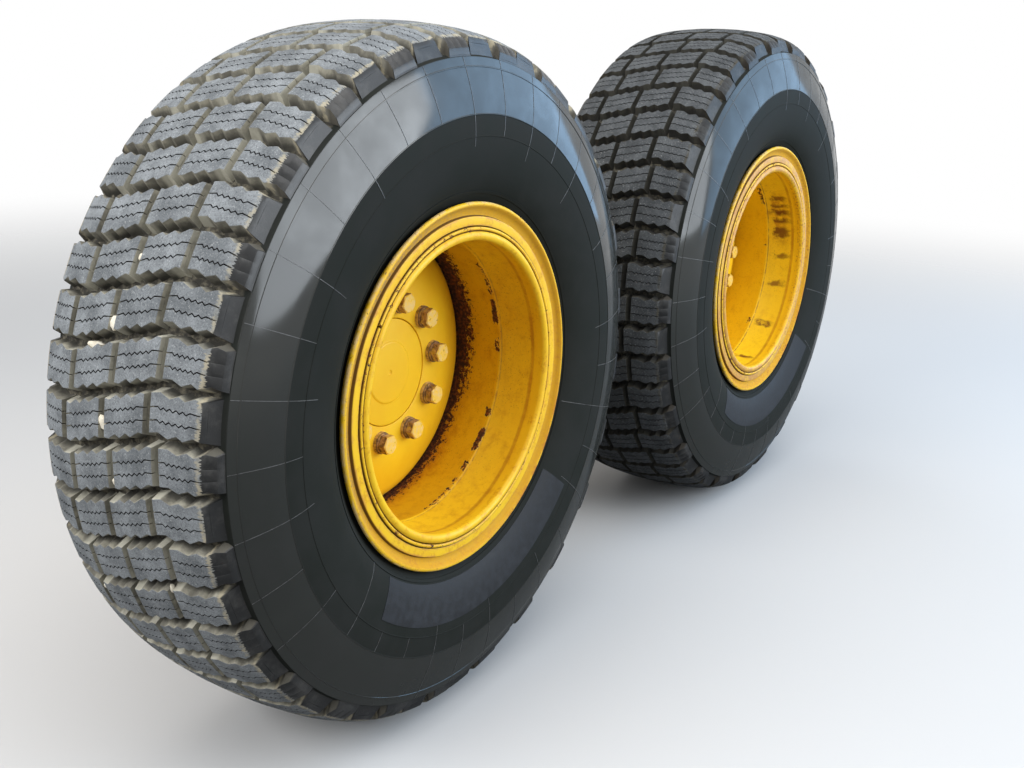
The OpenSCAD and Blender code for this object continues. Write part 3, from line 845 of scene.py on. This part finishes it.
def wall_stains(make, at, colour, side):
    """Stains, fine specks, a seam and dark runs on the rim's inner wall, a painted shade line along
    the fold below the gutter roll and, on the rear wheel, painted light that makes the disc and wall
    paler.
    """
    rear = side == "rear"
    if rear:
        # painted light: paler paint on the rear disc and inner wall, lightening the shade that falls
        # there
        colour = make.lay(colour, PAINTED_LIGHT_YELLOW, make.ramp(at.radius, 0.2925, 0.2915),
                          at.inside, 0.6)
    colour = make.lay(colour, WALL_STAIN, at.on_wall,
                      make.ramp(at.stain, 0.45, 0.75, 0.0, 0.3 if rear else 0.6))
    grains = make.noise(at.place, 330.0, 3.0, 0.6)
    colour = make.lay(colour, WALL_SPECKS, at.on_wall, make.ramp(grains, 0.6, 0.68),
                      make.ramp(at.wander, 0.35, 0.65, 0.2, 0.75))
    # painted shade: a darker orange line along the fold below the gutter roll
    colour = make.lay(colour, PAINTED_SHADE_LINE, at.on_wall,
                      make.window(at.level, *SHADED_LEVEL),
                      make.ramp(at.stain, 0.25, 0.6, 0.5, 1.0), 0.6)
    colour = make.lay(colour, SEAM_RUST, at.on_wall, make.window(at.level, *SEAM_LEVEL),
                      make.ramp(at.stain, 0.36, 0.55), 0.75 if rear else 0.4)
    runs = make.times(at.on_wall, make.window(make.plus(at.level, make.sway(at.stain, 0.09)),
                                              *RUN_LEVEL))
    if rear:
        colour = make.lay(colour, RUN_HALO, make.window(at.wobble, 0.12, 0.76, 0.12),
                          runs, make.ramp(at.stain, 0.35, 0.6), 0.6)
    for low, high, amount in STREAKS[side]:
        colour = make.lay(colour, RUN, make.arc(at.wobble, low, high, 0.015),
                          runs, make.ramp(at.stain, 0.3, 0.5, 0.45, 1.0), amount)
    return colour


def flange_wear(make, at, colour, side):
    """Painted shade and grime in the flange's hollow, dark joints of grime and painted shade between
    the rings, and a rubbed and rusty lip with a painted highlight.
    """
    radius, face, stain, speck = at.radius, at.face, at.stain, at.speck
    # painted shade darkens the flange's hollow
    colour = make.lay(colour, PAINTED_HOLLOW_SHADE, at.hollow, 0.75)
    colour = make.lay(colour, FACE_STAIN, face, make.ramp(stain, 0.48, 0.64),
                      make.ramp(speck, 0.38, 0.6), 0.6)
    left = make.ramp(make.math("COSINE", make.minus(at.turn, 2.6)), 0.3, 0.85, 0.12, 1.0)
    colour = make.lay(colour, HOLLOW_GRIME, at.hollow, left, make.ramp(speck, 0.36, 0.6),
                      make.ramp(at.wander, 0.3, 0.55, 0.4, 1.0), 0.85)
    if side == "rear":
        colour = make.lay(colour, WORN_FACE, face, make.windows(radius, RING_FACES),
                          make.ramp(stain, 0.3, 0.6, 0.25, 0.85))
        colour = make.lay(colour, FACE_RUST, face, make.ramp(speck, 0.52, 0.64),
                          make.ramp(at.wander, 0.3, 0.6), 0.75)
    colour = make.lay(colour, RUBBED_EDGE, face, make.windows(radius, RING_EDGES),
                      make.ramp(stain, 0.36, 0.58), 0.55)
    # the dark joints between the rings: grime, and painted shade in the crevices
    colour = make.lay(colour, JOINT_GRIME_AND_SHADE, face, make.windows(radius, RING_JOINTS), 0.93)
    # a pale lip: rubbed, dusty paint and a painted highlight along its edge
    colour = make.lay(colour, LIP_WEAR_AND_HIGHLIGHT, make.ramp(radius, 0.3545, 0.3572),
                      make.ramp(stain, 0.42, 0.56), 0.6)
    colour = make.lay(colour, RUSTY_LIP, make.window(at.turn, -1.2, -0.2, 0.2),
                      make.ramp(radius, 0.347, 0.3535), make.ramp(stain, 0.36, 0.56), 0.8)
    return make.lay(colour, LIP_DOTS, make.ramp(radius, 0.348, 0.353),
                    make.ramp(speck, 0.62, 0.66), 0.85)


def rim_rust(make, at, colour, side, paint):
    """A painted highlight along the disc's edge, a ragged band of rust beside the disc, specks
    beyond it and chips along the weld.
    """
    ragged = make.noise(at.place, 85.0, 8.0, 0.8, 0.3)
    reach = make.ramp(at.turn, -0.7, 0.1, -0.018, 0.002) if side == "front" else -0.03
    reach = make.plus(reach, make.sway(at.wander, 0.04), make.sway(ragged, 0.08))
    beyond = make.minus(at.level, reach)
    band = make.times(make.ramp(beyond, 0.001, -0.001), make.ramp(at.level, -0.033, -0.027),
                      make.window(at.radius, *BESIDE_DISC))
    # painted highlight: a pale line along the disc's edge
    colour = make.lay(colour, DISC_EDGE_HIGHLIGHT, make.window(at.radius, *DISC_EDGE),
                      make.window(at.level, *DISC_EDGE_LEVEL), 0.6)
    cover = 0.12
    for low, high, amount in WELD_CHIPS[side]:
        cover = make.most(cover, make.times(make.arc(at.wobble, low, high, 0.03), amount))
    along_weld = make.plus(at.level, make.sway(at.wander, 0.02))
    cover = make.most(make.times(make.window(along_weld, *WELD_LEVEL), at.on_wall, cover, 1.1),
                      make.times(make.window(at.radius, *CHIPPED_RING), at.face, 0.42))
    chips = flakes(make, at.place, 105.0, cover)
    colour = make.lay(colour, CHIP_RIM, chips["Edge"],
                      make.ramp(at.face, 0.0, 0.2, 0.7, 0.0))
    bare = make.most(band, chips["Mask"])
    if side == "front":
        cover = make.plus(make.ramp(beyond, 0.035, 0.0, 0.0, 0.33),
                          make.ramp(beyond, 0.12, 0.01, 0.11, 0.3))
        specks = flakes(make, at.place, 115.0, make.times(cover, at.on_wall))
        colour = make.lay(colour, RUST_HALO, make.ramp(beyond, 0.05, 0.0), at.on_wall,
                          make.ramp(at.turn, -0.1, -1.0, 0.15, 0.85))
        curled = make.mix(make.ramp(at.speck, 0.5, 0.6), paint.rust, SPECK_RIM)
        colour = make.lay(colour, curled, specks["Edge"], 0.5)
        bare = make.most(bare, specks["Mask"])
    dark = make.mix(make.ramp(make.noise(at.place, 150.0, 3.0), 0.42, 0.7), paint.brown,
                    paint.rust)
    return make.mix(bare, colour, dark), bare


def rim_paint(side, paint):
    """Yellow gloss paint with the rust band, chips, specks and streaks of one wheel, and its painted
    light and shade.
    """
    material, make, skin = start_material(side + "_rim_paint")
    at = RimPlaces(make, side)
    cloud = make.noise(at.place, 7.0, 4.0, 0.6)
    colour = make.mix(make.ramp(cloud, 0.35, 0.7, 0.0, 0.5), paint.yellow, paint.deep_yellow)
    colour = wall_stains(make, at, colour, side)
    colour = flange_wear(make, at, colour, side)
    colour, bare = rim_rust(make, at, colour, side, paint)
    peel = make.noise(at.place, 210.0, 2.0, 0.5)
    hollow = make.times(make.window(at.radius, *ROUGH_HOLLOW), at.face)
    rough = make.math("ADD", make.ramp(cloud, 0.3, 0.7, 0.4, 0.5),
                      make.times(make.most(bare, hollow), 0.35), clamp=True)
    make.fill(skin, {"Base Color": colour, "Roughness": rough, "Specular IOR Level": 0.32,
                     "Normal": make.bump(make.minus(make.times(peel, 0.12), bare), 0.5, 0.0006)})
    return material


def oily_joints(make, place, across, height):
    """Dark rings where the pivot ring and the inner caps meet the case, and runs below."""
    ragged = make.noise(place, 26.0, 5.0, 0.65)
    drawn_out = make.put("ShaderNodeMapping", {"Vector": place, "Scale": (34.0, 34.0, 3.0)})
    streaky = make.noise(drawn_out.outputs[0], 1.0, 4.0, 0.6)
    marks = 0.0
    for node in ("pivot_ring", "front_inner_cap", "rear_inner_cap"):
        low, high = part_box(node)
        centre = (low + high) / 2
        size = (high.x - low.x) / 2
        beside = make.minus(across, centre.x)
        above = make.minus(height, centre.z)
        reach = make.length(beside, above)
        ring = make.times(make.window(reach, size - 0.004, size + 0.006, 0.012),
                          make.ramp(ragged, 0.3, 0.6, 0.35, 0.9))
        run = make.times(make.window(beside, -size * 0.6, size * 0.6, 0.05),
                         make.ramp(reach, size - 0.01, size + 0.01),
                         make.ramp(above, -size - 0.22, -size * 0.8),
                         make.ramp(above, 0.0, -size * 0.5), make.ramp(streaky, 0.46, 0.66), 0.7)
        marks = make.most(marks, ring, run)
    return marks


def case_paint(name, paint, grime, joints):
    """Yellow paint of the plates and castings: faded in clouds, dusty on top, splashed with
    mud below, chipped and, on the plates, oily round the joints."""
    material, make, skin = start_material(name)
    given = make.put("ShaderNodeTexCoord").outputs
    place = given["Object"]
    across, _, height = make.split(place)
    up = make.split(given["Normal"])[2]
    cloud = make.noise(place, 5.0, 5.0, 0.6)
    film = make.noise(place, 2.2, 6.0, 0.65, 0.5)
    dust = make.noise(place, 90.0, 3.0, 0.6)
    colour = make.mix(make.ramp(cloud, 0.35, 0.7, 0.0, 0.6), paint.yellow, paint.deep_yellow)
    colour = make.lay(colour, CASE_FILM, make.ramp(film, 0.48, 0.72, 0.0, grime))
    if joints:
        colour = make.lay(colour, CASE_OIL, oily_joints(make, place, across, height))
    settled = make.times(make.ramp(up, 0.45, 0.95), make.ramp(cloud, 0.3, 0.65, 0.3, 0.8),
                         make.ramp(dust, 0.3, 0.7, 0.6, 1.0))
    colour = make.lay(colour, CASE_DUST, settled)
    splash = flakes(make, place, 34.0, make.plus(make.ramp(height, -0.02, -0.3, 0.0, 0.52),
                                                 make.ramp(film, 0.5, 0.7, 0.0, 0.2)))["Mask"]
    colour = make.lay(colour, CASE_MUD, splash, 0.7)
    chips = flakes(make, place, 55.0, 0.24)
    colour = make.lay(colour, CASE_CHIP_EDGE, chips["Edge"], 0.4)
    colour = make.lay(colour, paint.brown, chips["Mask"])
    colour = make.lay(colour, FINE_DUST, make.ramp(dust, 0.55, 0.8, 0.0, 0.35))
    rough = make.math("ADD", make.ramp(film, 0.3, 0.75, 0.34, 0.62),
                      make.times(make.most(settled, splash), 0.3), clamp=True)
    grain = make.minus(make.times(dust, 0.3), chips["Mask"])
    make.fill(skin, {"Base Color": colour, "Roughness": rough,
                     "Normal": make.bump(grain, 0.4, 0.0005)})
    return material


def nut_paint(side, paint):
    """Yellow on top of the nuts, brown steel on their sides and washers, and painted shadow in the
    seams between them.
    """
    material, make, skin = start_material(side + "_nut_paint")
    place = centred(make, side)
    level = wheel_place(make, place)["Level"]
    blotch = make.noise(place, 120.0, 5.0, 0.6)
    rusty = make.mix(make.ramp(blotch, 0.35, 0.62), DARK_STEEL, BROWN_STEEL)
    high = make.times(make.ramp(level, 0.0405, 0.0425), make.ramp(blotch, 0.28, 0.4))
    skirt = make.times(make.ramp(level, 0.024, 0.021), make.ramp(blotch, 0.35, 0.6, 0.1, 0.6))
    some = make.ramp(make.noise(place, 55.0, 3.0), 0.52, 0.62, 0.0, 0.5)
    painted = make.most(high, skirt, some)
    dusty = make.mix(make.ramp(blotch, 0.3, 0.7), paint.yellow, DUSTY_PAINT)
    colour = make.mix(painted, rusty, dusty)
    # painted shadow in the seams where the nut meets its collar and the collar its washer
    colour = make.lay(colour, NUT_SEAM_SHADOW, make.windows(level, NUT_SEAM_LEVELS), 0.75)
    make.fill(skin, {"Base Color": colour, "Roughness": make.ramp(painted, 0.0, 1.0, 0.68, 0.42),
                     "Normal": make.bump(blotch, 0.35, 0.0006)})
    return material


# Rubber


def groove_dirt(make, tread, depth, scuff, clods, level, dirt_clean_and_shaded):
    """Tan dirt, thick high on the groove walls and thinning deeper down over a near-black painted
    shade, and pale dust packed in the grooves that run round the tyre, which repeat with the
    columns."""
    dirt = make.mix(make.ramp(clods, 0.35, 0.7), dimmed(tread.mud, dirt_clean_and_shaded), dimmed(tread.dirt, dirt_clean_and_shaded))
    # painted shade: the groove walls darken towards the bottom, under the dirt
    wall = make.lay(GROOVE_DEPTH_SHADE, dirt, make.ramp(depth, 0.8, 0.08, 0.25, 1.0),
                    make.ramp(scuff, 0.2, 0.5, 0.55, 1.0))
    across = make.times(make.plus(level, COLUMN_SHIFT * MM), TURN / (COLUMN * MM))
    wall = make.lay(wall, dimmed(tread.packed_dust, dirt_clean_and_shaded),
                    make.ramp(make.math("COSINE", across), 0.45, 0.8),
                    make.ramp(scuff, 0.3, 0.6, 0.35, 0.85))
    return make.lay(wall, OUTER_GROOVE,
                    make.ramp(make.math("ABSOLUTE", level), 0.168, 0.186, 0.0, 0.85))


def tread_rubber(side, tread):
    """Dusty worn tops, groove walls caked with tan dirt over painted shade, near-black painted shade
    in the sipes and black outer faces; the rear tread is darker, partly cleaner and partly painted
    shade.
    """
    material, make, skin = start_material(side + "_tread_rubber")
    place = centred(make, side)
    _, turn, level = wheel_place(make, place)
    marks = {name: make.put("ShaderNodeAttribute", attribute_name=name).outputs["Fac"]
             for name in TREAD_MARKS}
    depth = marks["groove_depth"]
    crumbs = make.noise(place, 380.0, 4.0, 0.75)
    scuff = make.noise(place, 22.0, 5.0, 0.65)
    clods = make.noise(place, 40.0, 4.0, 0.6)
    # the rear tread and its dirt are darkened: partly cleaner rubber, partly painted shade of the
    # front tyre
    clean_and_shaded = tread.rear_clean_and_shaded if side == "rear" else 1.0
    dirt_clean_and_shaded = clean_and_shaded ** 2
    colour = make.mix(make.ramp(scuff, 0.3, 0.72), dimmed(tread.tread, clean_and_shaded),
                      dimmed(tread.tread_dust, clean_and_shaded))
    colour = make.lay(colour, DARK_CRUMBS, make.ramp(crumbs, 0.5, 0.66, 0.0, 0.6))
    colour = make.lay(colour, PALE_CRUMBS, make.ramp(crumbs, 0.42, 0.3, 0.0, 0.6))
    colour = make.lay(colour, groove_dirt(make, tread, depth, scuff, clods, level, dirt_clean_and_shaded),
                      make.ramp(depth, 0.008, 0.035))
    # painted shade: near black inside the sipes
    colour = make.lay(colour, SIPE_SHADE, make.ramp(marks["sipe"], 0.92, 0.99),
                      make.ramp(depth, 0.004, 0.02))
    # a dirty rim where the worn tops end, and smooth black shoulders outside it
    comb = make.noise(make.vector(make.times(turn, 0.66), make.times(level, 0.1)), 330.0, 2.0, 0.5)
    past = make.minus(make.math("ABSOLUTE", level), make.ramp(comb, 0.35, 0.65, 0.0, 0.0035))
    colour = make.lay(colour, dimmed(SHOULDER_DIRT, dirt_clean_and_shaded), make.window(past, *DIRTY_LEVEL),
                      make.ramp(clods, 0.38, 0.6, 0.1, 0.8))
    smooth = make.most(make.times(make.ramp(past, 0.1765, 0.178), make.ramp(depth, 0.035, 0.012)),
                       make.ramp(marks["outer"], 0.7, 0.95))
    black = make.mix(make.ramp(scuff, 0.45, 0.75), SHOULDER, SCUFFED_SHOULDER)
    make.fill(skin, {"Base Color": make.lay(colour, black, smooth),
                     "Roughness": make.mix(smooth, (0.86,) * 3, (0.5,) * 3),
                     "Normal": make.bump(crumbs, 0.5, 0.0008),
                     "Coat Weight": make.times(smooth, 0.42 * clean_and_shaded),
                     "Coat Roughness": 0.24, "Specular IOR Level": 0.2})
    return material


def wall_rubber(side, tread):
    """Dressed black rubber: a glossy outer band, a duller inner wall, dirty floors."""
    material, make, skin = start_material(side + "_wall_rubber")
    place = centred(make, side)
    radius, _, level = wheel_place(make, place)
    smear = make.noise(place, 9.0, 5.0, 0.6, 0.3)
    colour = make.mix(make.ramp(smear, 0.35, 0.7), tread.wall, SMEARED_WALL)
    colour = make.lay(colour, WALL_SPOTS, flakes(make, place, 60.0, 0.2)["Mask"], 0.5)
    clods = make.noise(place, 95.0, 5.0, 0.65)
    dirt = make.mix(make.ramp(clods, 0.4, 0.7), DARK_CLODS, PALE_CLODS)
    floor = make.times(make.ramp(radius, 0.6165, 0.6185),
                       make.ramp(make.math("ABSOLUTE", level), 0.19, 0.184))
    shine = 1.0 if side == "front" else 0.78
    wiped = make.times(make.window(radius, *GLOSSY_BAND),
                       make.ramp(smear, 0.25, 0.6, shine, shine * 0.7))
    lathe = make.put("ShaderNodeTexWave", {"Vector": make.vector(radius), "Scale": 90.0,
                                           "Distortion": 0.0, "Detail": 0.0}).outputs["Fac"]
    fine = make.noise(place, 300.0, 3.0, 0.6)
    grain = make.plus(make.times(fine, 0.5), make.times(lathe, 0.1))
    make.fill(skin, {"Base Color": make.lay(colour, dirt, floor),
                     "Roughness": make.plus(make.ramp(smear, 0.3, 0.75, 0.6, 0.72),
                                            make.times(floor, 0.35)),
                     "Normal": make.bump(grain, 0.18, 0.0004), "Specular IOR Level": 0.05,
                     "Coat Weight": wiped, "Coat IOR": 1.5, "Coat Roughness": 0.1})
    return material


def simple_finish(name, colour, other, roughness, metallic=0.0, specular=0.5):
    """A plain finish with mottled colour and roughness and a fine grain."""
    material, make, skin = start_material(name)
    place = object_place(make)
    mottle = make.noise(place, 60.0, 5.0, 0.62)
    grain = make.noise(place, 420.0, 3.0, 0.6)
    rough = make.ramp(mottle, 0.3, 0.7, roughness - 0.08, roughness + 0.1)
    make.fill(skin, {"Base Color": make.mix(make.ramp(mottle, 0.35, 0.68), colour, other),
                     "Roughness": rough, "Metallic": metallic, "Specular IOR Level": specular,
                     "Normal": make.bump(grain, 0.4, 0.0004)})
    return material


# Settings


def tint(name, default, description):
    return FloatVectorProperty(name=name, description=description, default=default,
                               subtype="COLOR", min=0, max=1)


def width(name, default, low, high, description):
    return FloatProperty(name=name, description=description, default=default, min=low, max=high,
                         unit="LENGTH")


def power(name, default, description):
    return FloatProperty(name=name, description=description, default=default, min=0)


class TreadSettings(bpy.types.PropertyGroup):
    """Sizes and colours of the tyres"""

    rows: IntProperty(name="Rows", description="Rows of blocks round the tyre, an even number",
                      default=50, min=10, max=80, step=2)
    groove_depth: width("Groove depth", 0.024, 0.005, 0.03, "Depth of the tread grooves")
    cross_groove: width("Cross groove", 0.023, 0.005, 0.03, "Width of the cross grooves")
    round_groove: width("Round groove", 0.0138, 0.004, 0.02, "Width of the grooves round it")
    sipe_width: width("Sipe width", 0.0016, 0.0004, 0.004, "Width of the fine cuts")
    sipe_wave: width("Sipe wave", 0.0021, 0.0, 0.004, "Height of the zigzag of the cuts")
    tread: tint("Tread", (0.121, 0.132, 0.141), "Colour of the worn tops")
    tread_dust: tint("Tread dust", (0.249, 0.268, 0.283), "Colour of the dusty tops")
    dirt: tint("Dirt", (0.4, 0.38, 0.305), "Colour of the dirt in the grooves")
    mud: tint("Mud", (0.17, 0.162, 0.135), "Colour of the darker dirt")
    packed_dust: tint("Packed dust", (0.47, 0.455, 0.38), "Dust in the grooves round the tyre")
    # the rear tread is darkened: partly cleaner rubber, partly painted shade of the front tyre
    rear_clean_and_shaded: FloatProperty(name="Cleaner, shaded rear", default=0.38, min=0.1, max=1,
                              description="How dark the rear tread is, set against the front")
    wall: tint("Wall", (0.0155, 0.0175, 0.0152), "Colour of the tyre walls")


class PaintSettings(bpy.types.PropertyGroup):
    """Colours of the paint and its rust"""

    yellow: tint("Yellow", (0.84, 0.52, 0.014), "Colour of the paint")
    deep_yellow: tint("Deep yellow", (0.75, 0.4, 0.006), "Colour of the weathered paint")
    rust: tint("Rust", (0.26, 0.075, 0.02), "Colour of fresh rust")
    brown: tint("Brown", (0.05, 0.022, 0.014), "Colour of old rust")


class StageSettings(bpy.types.PropertyGroup):
    """The floor and the lights"""

    floor: tint("Floor", (0.58, 0.58, 0.58), "Colour of the floor")
    bounce: tint("Bounce", (0.2, 0.2, 0.2), "Light that the floor throws back")
    key: power("Overhead light", 225.0, "Power of the overhead light in watts")
    strip: power("Strip light", 285.0, "Power of the low light at the side, which the tyre "
                 "walls mirror, in watts")
    front: power("Front light", 165.0, "Power of the light in front of the wheels, in watts")
    back: power("Back light", 60.0, "Power of the light behind, in watts")
    fill: power("Sky light", 0.38, "Strength of the light from all round")


# Operators


class TANDEM_OT_stage(bpy.types.Operator):
    """Camera at the photograph's viewpoint, floor, white surroundings and soft lights"""

    bl_idname = "tandem.stage"
    bl_label = "Stage"

    def add_camera(self, scene):
        camera = bpy.data.objects.new("camera", bpy.data.cameras.new("camera"))
        camera.data.lens = LENS
        camera.data.sensor_width = 36.0
        camera.data.clip_end = 200.0
        turn = Matrix((CAMERA_RIGHT, CAMERA_RIGHT.cross(CAMERA_FORWARD), -CAMERA_FORWARD))
        camera.matrix_world = (Matrix.Translation(CAMERA_PLACE)
                               @ turn.transposed().to_4x4())
        scene.collection.objects.link(camera)
        scene.camera = camera

    def add_floor(self, scene, stage):
        """A disc just under the wheels that fades out far away."""
        bm = bmesh.new()
        bmesh.ops.create_circle(bm, cap_ends=True, segments=96, radius=60.0)
        bmesh.ops.translate(bm, verts=bm.verts[:], vec=(0, 0, CAD_BOX[0][2] - 0.0005))
        mesh = bpy.data.meshes.new("floor")
        bm.to_mesh(mesh)
        bm.free()
        floor = bpy.data.objects.new("floor", mesh)
        scene.collection.objects.link(floor)
        material, make, skin = start_material("floor")
        seen = make.put("ShaderNodeLightPath").outputs["Is Camera Ray"]
        far = make.put("ShaderNodeVectorMath", {0: object_place(make)},
                       operation="LENGTH").outputs["Value"]
        make.fill(skin, {"Base Color": make.mix(seen, stage.bounce, stage.floor),
                         "Roughness": 0.8, "Specular IOR Level": 0.0,
                         "Alpha": make.ramp(far, 2.2, 7.0, 1.0, 0.0)})
        mesh.materials.append(material)

    def add_lamps(self, scene, stage):
        """Soft lamps as (name, place, aim, size, power, tint)."""
        white, pale, blue = (1, 1, 1), (0.86, 0.93, 1), (0.28, 0.6, 1)
        lamps = (
            ("overhead", (-1.2, -1.6, 4.4), (0, -0.5, 0), (6.0, 5.0), stage.key, white),
            ("strip", (1.5, -5.8, 1.4), (-0.9, -0.9, 0.25), (4.2, 3.0), stage.strip, pale),
            ("blue_strip", (4.5, -3.6, 1.4), (0, -0.9, 0.3), (3.4, 3.5), stage.strip * 0.42, blue),
            ("front", (-4.7, 0.6, 2.3), (-1.2, -0.6, 0.1), (3.0, 2.0), stage.front, white),
            ("back", (3.4, 3.4, 3.4), (0, -0.3, 0), (3.0, 3.0), stage.back, white))
        for name, place, aim, size, watts, shade in lamps:
            light = bpy.data.lights.new(name, "AREA")
            light.shape = "RECTANGLE"
            light.color = shade
            light.size, light.size_y = size
            light.energy = watts
            lamp = bpy.data.objects.new(name, light)
            way = Vector(aim) - Vector(place)
            lamp.matrix_world = (Matrix.Translation(place)
                                 @ way.to_track_quat("-Z", "Y").to_matrix().to_4x4())
            scene.collection.objects.link(lamp)

    def add_world(self, scene, stage):
        """Even light from all round, which is white where the camera or a mirror sees it."""
        world = bpy.data.worlds.new("surroundings")
        world.use_nodes = True
        world.node_tree.nodes.clear()
        make = Shader(world.node_tree)
        path = make.put("ShaderNodeLightPath").outputs
        seen = make.most(path["Is Camera Ray"], path["Is Glossy Ray"],
                         path["Is Transmission Ray"])
        sky = make.put("ShaderNodeBackground", {
            "Color": (1, 1, 1), "Strength": make.ramp(seen, 0.0, 1.0, stage.fill, 1.0)})
        make.put("ShaderNodeOutputWorld", {0: sky.outputs[0]})
        scene.world = world

    def execute(self, context):
        scene = context.scene
        self.add_camera(scene)
        self.add_floor(scene, scene.tandem_stage)
        self.add_lamps(scene, scene.tandem_stage)
        self.add_world(scene, scene.tandem_stage)
        scene.view_settings.view_transform = "Standard"
        return {"FINISHED"}


class TANDEM_OT_tyres(bpy.types.Operator):
    """Both tyres: blocks with sipes on a carcass with moulded walls"""

    bl_idname = "tandem.tyres"
    bl_label = "Tyres"

    def execute(self, context):
        tread = context.scene.tandem_tread
        sizes = TreadSizes(tread)
        line = simple_finish("mould_line", (0.05, 0.05, 0.05), (0.1, 0.1, 0.1), 0.4)
        smooth = simple_finish("smooth_rubber", (0.014, 0.015, 0.017), (0.024, 0.026, 0.03), 0.6,
                               specular=0.2)
        for side in SIDES:
            wheel_piece(side, side + "_tread_blocks", tread_mesh(sizes, side),
                        [tread_rubber(side, tread)], 30)
            wheel_piece(side, side + "_tyre_walls", wall_mesh(sizes.depth),
                        [wall_rubber(side, tread), line, smooth], 32, (side + "_tyre",))
        return {"FINISHED"}


class TANDEM_OT_stones(bpy.types.Operator):
    """Pale stones caught in the front tyre's grooves"""

    bl_idname = "tandem.stones"
    bl_label = "Stones"

    def execute(self, context):
        stone = simple_finish("pale_stone", (0.66, 0.6, 0.47), (0.8, 0.76, 0.66), 0.7)
        bm = bmesh.new()
        for index, (x, angle, wide, long, tall) in enumerate(STONES):
            verts = bmesh.ops.create_icosphere(bm, subdivisions=2, radius=1.0)["verts"]
            for vert in verts:
                lump = noise.noise(vert.co * 1.3 + Vector((index * 3.1, 0, 0)))
                vert.co *= 1 + 0.45 * lump
            bmesh.ops.scale(bm, verts=verts, vec=(tall, wide, long))
            bmesh.ops.translate(bm, verts=verts, vec=(along(CROWN, abs(x)) - tall * 1.1, x, 0))
            turn_about_axle(bm, math.radians(angle), verts)
        wheel_piece("front", "stones_in_tread", bm, [stone], 50)
        return {"FINISHED"}


class TANDEM_OT_rims(bpy.types.Operator):
    """Rims, flanges, split lock rings, discs and hubs of both wheels"""

    bl_idname = "tandem.rims"
    bl_label = "Rims"

    def execute(self, context):
        flange = flange_section(312.6) + [(312.6, 199.8, 1.2)]
        ring = [(304.2, 176.8), (311.4, 176.8)] + arc((RING_R, 200.2), 3.6, 0, 180, 10)
        gap = RING_GAP / RING_R
        pieces = (("rim", "rim_base", "yellow_rim", rim_section(), 240, 0.25),
                  ("flange", "side_flange", "yellow_rim", flange, 240, 0.3),
                  ("lock_ring", "lock_ring", "yellow_rim", ring, 240, 0.0),
                  ("disc", "wheel_disc", "yellow_rim", DISC_SECTION, 160, 0.4),
                  ("hub_face", "hub", "yellow_casting", HUB_SECTION, 120, 0.0))
        for side in SIDES:
            coat = rim_paint(side, context.scene.tandem_paint)
            for name, node, slot, section, steps, ripple in pieces:
                span = (SPLIT[side] + gap / 2, TURN - gap) if name == "lock_ring" else ()
                wheel_piece(side, f"{side}_{name}", ring_mesh(side, section, steps, ripple, *span),
                            [coat], 32, (f"{side}_{node}",))
        return {"FINISHED"}


class TANDEM_OT_nuts(bpy.types.Operator):
    """Wheel nuts with washers, and the air valves"""

    bl_idname = "tandem.nuts"
    bl_label = "Nuts and valves"

    def execute(self, context):
        brass = simple_finish("dull_brass", (0.36, 0.25, 0.09), (0.2, 0.13, 0.05), 0.42, 0.9)
        for side in SIDES:
            bm = bmesh.new()
            for index in range(NUTS):
                add_nut(bm, math.radians(FIRST_NUT + 360 / NUTS * index))
            wheel_piece(side, side + "_nuts", bm,
                        [nut_paint(side, context.scene.tandem_paint)], 25,
                        (side + "_wheel_nuts",))
            new_piece(side + "_valve_stem", cad_copy(side + "_valve", 0.0008), side + "_wheel",
                      [brass], 35, (side + "_valve",))
        return {"FINISHED"}


class TANDEM_OT_case(bpy.types.Operator):
    """Tandem case, pivot ring, covers, spindle housings and the axle end"""

    bl_idname = "tandem.case"
    bl_label = "Case and axle end"

    def execute(self, context):
        paint = context.scene.tandem_paint
        finishes = {
            "yellow_plate": case_paint("plate_paint", paint, 0.45, True),
            "yellow_casting": case_paint("casting_paint", paint, 0.6, False),
            "grey_iron": simple_finish("machined_iron", (0.2, 0.2, 0.21), (0.3, 0.29, 0.28),
                                       0.45, 0.8),
            "bare_steel": simple_finish("plain_steel", (0.42, 0.41, 0.39), (0.3, 0.26, 0.22),
                                        0.4, 0.9),
        }
        for node, body, slot, bevel in CASE_PIECES:
            new_piece(node + "_dressed", cad_copy(node, bevel), body, [finishes[slot]], 35,
                      (node,))
        return {"FINISHED"}


class TANDEM_PT_panel(bpy.types.Panel):
    """Lists the steps in the order they run"""

    bl_label = "Tandem"
    bl_idname = "TANDEM_PT_panel"
    bl_space_type = "VIEW_3D"
    bl_region_type = "UI"
    bl_category = "Tandem"

    def draw(self, context):
        for step in STEPS:
            self.layout.operator(step.bl_idname)
        for name, group in GROUPS:
            box = self.layout.box()
            for key in group.__annotations__:
                box.prop(getattr(context.scene, name), key)


STEPS = (TANDEM_OT_stage, TANDEM_OT_tyres, TANDEM_OT_stones, TANDEM_OT_rims, TANDEM_OT_nuts,
         TANDEM_OT_case)
GROUPS = (("tandem_tread", TreadSettings), ("tandem_paint", PaintSettings),
          ("tandem_stage", StageSettings))


def register():
    for name, group in GROUPS:
        bpy.utils.register_class(group)
        setattr(bpy.types.Scene, name, PointerProperty(type=group))
    for item in STEPS + (TANDEM_PT_panel,):
        bpy.utils.register_class(item)


def unregister():
    for item in reversed(STEPS + (TANDEM_PT_panel,)):
        bpy.utils.unregister_class(item)
    for name, group in reversed(GROUPS):
        delattr(bpy.types.Scene, name)
        bpy.utils.unregister_class(group)


def main():
    register()
    for step in STEPS:
        getattr(bpy.ops.tandem, step.bl_idname.split(".")[1])()


if __name__ == "__main__":
    main()
